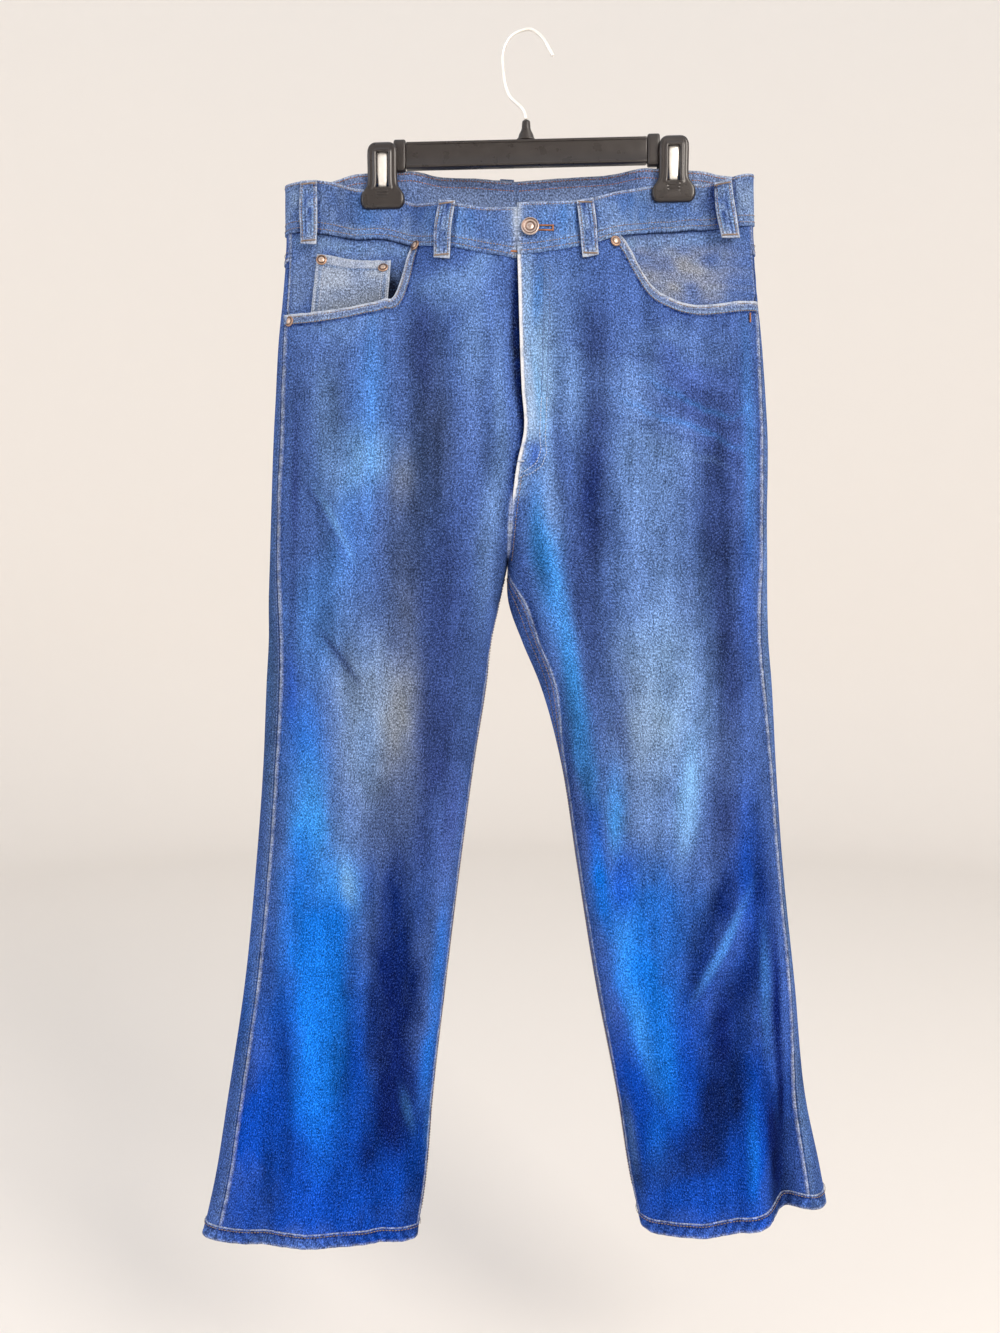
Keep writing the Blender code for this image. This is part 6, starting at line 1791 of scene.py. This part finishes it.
def jaw(side, face):
    """x = half * c, y = inner face + wall * round, with round falling to a third at the outline,
    a raised lip round the slot and small ribs below it."""
    rows, columns = JAW_GRID
    down = np.linspace(0, CLIP_HEIGHT, rows)[:, None]
    c = np.linspace(-1, 1, columns)[None, :]
    half, inner, wall = (table(JAW_ROWS, JAW_COLUMNS_OF, n, down) for n in JAW_COLUMNS_OF[1:])
    from_side = (1 - np.abs(c)) * half
    from_end = np.minimum(down, CLIP_HEIGHT - down)
    near = np.clip(np.minimum(from_side, from_end) / ROUNDING, 0, 1)
    rounded = 0.34 + 0.66 * np.sqrt(1 - (1 - near) ** 2)
    top, foot, left, right = SLOT
    out_x = np.maximum(np.maximum(left - c, c - right) * half, 0)
    out_z = np.maximum(np.maximum(top - down, down - foot), 0)
    lip = LIP_HEIGHT * np.exp(-(((np.hypot(out_x, out_z) - LIP_OUT) / LIP_WIDTH) ** 2))
    in_ribs = smooth((down - foot - 1.5) / 1.5) * smooth((foot + RIB_REACH - down) / 1.5)
    wave = np.sin(2 * np.pi * (down - foot) / RIB_PITCH)
    ribs = RIB_HEIGHT * wave * in_ribs * (np.abs(c * half) < RIB_HALF)
    x = CLIP_X[side] + half * c
    z = CLIP_FOOT_Z[side] + CLIP_HEIGHT - down + CLIP_TILT * half * c
    sign = -1 if face == "front" else 1
    y_outer = inner + wall * rounded + lip + ribs
    outer = np.stack([x, sign * y_outer, z], axis=-1)
    back = np.stack([x, np.broadcast_to(sign * inner, x.shape), z], axis=-1)
    middle_row = (down[1:, 0] + down[:-1, 0]) / 2
    middle_column = (c[0, 1:] + c[0, :-1]) / 2
    in_slot = ((middle_row > top) & (middle_row < foot))[:, None] & (
        (middle_column > left) & (middle_column < right))[None, :]
    made = masked_slab(f"moulded_{face}_jaw_{side}", outer, back, ~in_slot, PLASTIC)
    return stands_for(made, f"clip_{side}_{face}_jaw")


for side in SIDES:
    for face in ("front", "back"):
        print(jaw(side, face).name)

# %% Bar, its ends and the neck
BAR_X = (-117.6, 111.0)
BAR_HEIGHT, BAR_HALF_DEPTH = 24.5, 4.0
BAR_OUTLINE = (  # (depth, height) as shares, with a lip along the top and foot of the front
    (-1.0, 0.92), (-0.92, 0.98), (-0.75, 1.0), (0.9, 1.0), (1.0, 0.96), (1.0, 0.82), (0.9, 0.79),
    (-0.25, 0.79), (-0.25, -0.79), (0.9, -0.79), (1.0, -0.82), (1.0, -0.96), (0.9, -1.0),
    (-0.75, -1.0), (-0.92, -0.98), (-1.0, -0.92), (-1.0, -0.80), (-0.94, -0.775), (-0.82, -0.765),
    (-0.78, -0.74), (-0.78, 0.74), (-0.82, 0.765), (-0.94, 0.775), (-1.0, 0.80),
)
BAR_ENDS = {"right": (-129.5, -117.8), "left": (111.2, 123.0)}
END_HEIGHT, END_HALF_DEPTH = 30.0, 5.0


def slope(x):
    """The hanger hangs a little aslant: its height over its middle at x."""
    return CLIP_TILT * (x - BAR_MIDDLE_X)


def drawn_out(name, outline, half, high, x_ends, node_name, rounds=1.2, steps=24):
    """An outline of (depth, height) shares drawn out along x. It shrinks over its last rounds
    millimetres, so that its ends are soft, and both are closed by a fan of quads."""
    x = np.concatenate([
        x_ends[0] + rounds * (1 - np.cos(np.linspace(0, np.pi / 2, 6))),
        np.linspace(x_ends[0] + rounds, x_ends[1] - rounds, steps)[1:-1],
        x_ends[1] - rounds * (1 - np.cos(np.linspace(np.pi / 2, 0, 6))),
    ])
    from_end = np.minimum(x - x_ends[0], x_ends[1] - x)
    inset = rounds * (1 - np.sqrt(np.clip(1 - (1 - np.clip(from_end / rounds, 0, 1)) ** 2, 0, 1)))
    outline = np.array(outline, float)
    y = outline[None, :, 0] * (half - inset)[:, None]
    z = outline[None, :, 1] * (high / 2 - inset)[:, None] + (slope(x) + BAR_MIDDLE_Z)[:, None]
    points = np.stack([np.broadcast_to(x[:, None], y.shape), y, z], axis=-1)
    count = len(outline)
    quads = grid_quads(len(x), count, closed=True)
    fan = np.array([[i, i + 1, count - 2 - i, count - 1 - i] for i in range(count // 2 - 1)])
    quads = np.concatenate([quads, fan[:, ::-1], fan + (len(x) - 1) * count])
    made = add_mesh(name, points.reshape(-1, 3), quads, PLASTIC)
    return stands_for(made, node_name)


def pill(steps=9, square=5.0):
    """A rounded rectangle: a superellipse of a high power, symmetric top to foot."""
    angle = np.linspace(np.pi / 2, -np.pi / 2, 2 * steps)
    left = np.stack([-power(np.cos(angle), 2 / square), power(np.sin(angle), 2 / square)], axis=-1)
    right = np.stack([-left[::-1, 0], left[::-1, 1]], axis=-1)
    return np.concatenate([left, right])


print(drawn_out("moulded_bar", BAR_OUTLINE, BAR_HALF_DEPTH, BAR_HEIGHT, BAR_X, "hanger_bar").name)
for side in SIDES:
    print(drawn_out(f"moulded_bar_end_{side}", pill(), END_HALF_DEPTH, END_HEIGHT, BAR_ENDS[side],
                    f"bar_end_{side}", 2.0, 6).name)
NECK_X = -3.7
NECK_PROFILE = (  # height, half width and half depth
    (-103.6, 9.5, 4.0), (-102.8, 8.6, 4.0), (-101.5, 7.6, 3.9), (-98.6, 6.8, 3.8),
    (-95.0, 5.0, 3.6), (-92.5, 4.2, 3.5), (-88.0, 4.0, 3.4), (-86.2, 3.7, 3.2), (-85.4, 3.0, 2.6),
    (-85.3, 0.05, 0.05),
)


def neck():
    """An oval at each level of the profile: (half width * cos a, half depth * sin a)."""
    rows = np.array(NECK_PROFILE)
    angle = circle(40)
    points = np.stack([
        NECK_X + rows[:, 1:2] * np.cos(angle), rows[:, 2:3] * np.sin(angle),
        np.broadcast_to(rows[:, :1], (len(rows), len(angle))),
    ], axis=-1)
    foot = np.stack([np.full(len(angle), NECK_X), 0 * angle, np.full(len(angle), rows[0, 0])], -1)
    points = np.concatenate([foot[None], points])
    quads = grid_quads(len(points), len(angle), closed=True)
    made = add_mesh("moulded_neck", points.reshape(-1, 3), quads, PLASTIC)
    return stands_for(made, "hook_neck")


print(neck().name)

# %% Springs
SPRING_WALL = 0.8
STRIP = (  # the way down from the jaw's top, out from the middle plane, and half the width
    (42.5, 4.6, 3.6), (36.0, 5.6, 4.4), (28.0, 6.5, 5.0), (20.0, 7.3, 5.1), (13.0, 7.8, 4.9),
    (8.0, 7.2, 4.6), (4.5, 5.4, 4.4), (2.6, 2.8, 4.4), (2.0, 0.0, 4.4),
)


def spring(side):
    """The strip's path is run down one side and, mirrored, down the other. Its two faces are the
    path moved half a wall along its own normal."""
    rows = np.array(STRIP)
    rows = np.concatenate([rows, (rows * [1, -1, 1])[-2::-1]])
    down, out, half = rows.T
    along = unit(np.gradient(np.stack([-out, -down], axis=-1), axis=0))
    normal = np.stack([along[:, 1], -along[:, 0]], axis=-1) * SPRING_WALL / 2
    share = np.linspace(-1, 1, 9)[None, :]
    bow = 0.5 * (1 - share**2)
    top = CLIP_FOOT_Z[side] + CLIP_HEIGHT

    def face(sign):
        """The path moved half a wall out or in, bowed across where it is in the open."""
        y = -out + sign * normal[:, 0]
        z = top - down + sign * normal[:, 1]
        y = y[:, None] - np.sign(out)[:, None] * bow * (np.abs(out) > 4)[:, None]
        x = CLIP_X[side] + half[:, None] * share
        return np.stack([x, y, np.broadcast_to(z[:, None], x.shape)], axis=-1)

    points = np.concatenate([face(1).reshape(-1, 3), face(-1).reshape(-1, 3)])
    made = add_mesh(f"spring_strip_{side}", points, shell_quads(len(rows), 9), STEEL)
    return stands_for(made, f"clip_{side}_spring")


for side in SIDES:
    print(spring(side).name)

# %% [markdown]
# ## Stage and light
#
# A flat plane would show its edges in a view from the side, so a pale bowl stands all round the
# piece, and any view of it has the same plain ground. The light is a large soft window to the
# right of the lens and a weak one to its left.

# %% Stage
FLOOR_Z, BOWL_RADIUS, BOWL_FILLET = -1350.0, 4200.0, 900.0


def wall_paint(name):
    """Matt emulsion, rolled on, so it has no gloss. The floor catches more light than the wall, so
    its paint is a little darker, rising with the height to the wall's."""
    material, tree, output = new_material(name)
    where = node(tree, "ShaderNodeTexCoord").outputs["Object"]
    level = node(tree, "ShaderNodeSeparateXYZ", None, {"Vector": where}).outputs["Z"]
    gain = node(tree, "ShaderNodeMapRange", None,
                (level, FLOOR_Z * MM, (FLOOR_Z + BOWL_FILLET) * MM, 0.93, 1.0))
    shade = node(tree, "ShaderNodeVectorMath", {"operation": "SCALE"},
                 {0: tuple(linear("#efeae4")), "Scale": gain.outputs["Result"]})
    shader = node(tree, "ShaderNodeBsdfPrincipled", None, {
        "Base Color": shade.outputs["Vector"], "Roughness": 0.95, "Specular IOR Level": 0.1,
    })
    return shown(material, tree, output, shader)


def add_bowl():
    """A floor disc, a fillet and an upright wall, spun about the middle of the object."""
    profile = [(r, FLOOR_Z) for r in np.linspace(1, BOWL_RADIUS - BOWL_FILLET, 10)]
    turn = np.linspace(0, np.pi / 2, 14)[1:]
    profile += [(BOWL_RADIUS - BOWL_FILLET + BOWL_FILLET * math.sin(a),
                 FLOOR_Z + BOWL_FILLET * (1 - math.cos(a))) for a in turn]
    profile += [(BOWL_RADIUS, z) for z in (1200.0, 3200.0)]
    profile = np.array(profile)
    angle = circle(96)
    points = np.stack([
        profile[:, :1] * np.cos(angle), profile[:, :1] * np.sin(angle),
        np.broadcast_to(profile[:, 1:], (len(profile), len(angle))),
    ], axis=-1)
    quads = grid_quads(len(profile), len(angle), closed=True)
    mesh = bpy.data.meshes.new("backdrop")
    mesh.from_pydata((points.reshape(-1, 3) * MM).tolist(), [], quads.tolist())
    mesh.shade_smooth()
    mesh.materials.append(wall_paint("warm_white_paint"))
    made = add_object("backdrop", mesh)
    return made


def add_light(name, place, aim, size, watts, colour):
    """A rectangle of light, in metres, turned so that it faces its aim."""
    data = bpy.data.lights.new(name, "AREA")
    data.shape = "RECTANGLE"
    data.size, data.size_y = size
    data.energy = watts
    data.color = tuple(linear(colour))
    made = add_object(name, data)
    made.location = place
    direction = np.array(aim, float) - np.array(place, float)
    made.rotation_euler = Vector(direction).to_track_quat("-Z", "Y").to_euler()
    return made


add_bowl()
MIDDLE = (0.0, 0.0, -0.6)
add_light("key_window", (1.7, -2.3, 0.6), MIDDLE, (1.2, 1.8), 90, "#fff6ec")
add_light("fill_window", (-2.4, -1.7, -0.1), MIDDLE, (1.8, 2.4), 30, "#e6eeff")
world = bpy.data.worlds.new("pale_room")
world.use_nodes = True
background = world.node_tree.nodes["Background"]
background.inputs["Color"].default_value = (*linear("#eef1f6"), 1.0)
background.inputs["Strength"].default_value = 1.05
bpy.context.scene.world = world
bpy.context.scene.view_settings.view_transform = "Standard"
print("Lights:", [item.name for item in bpy.data.lights])
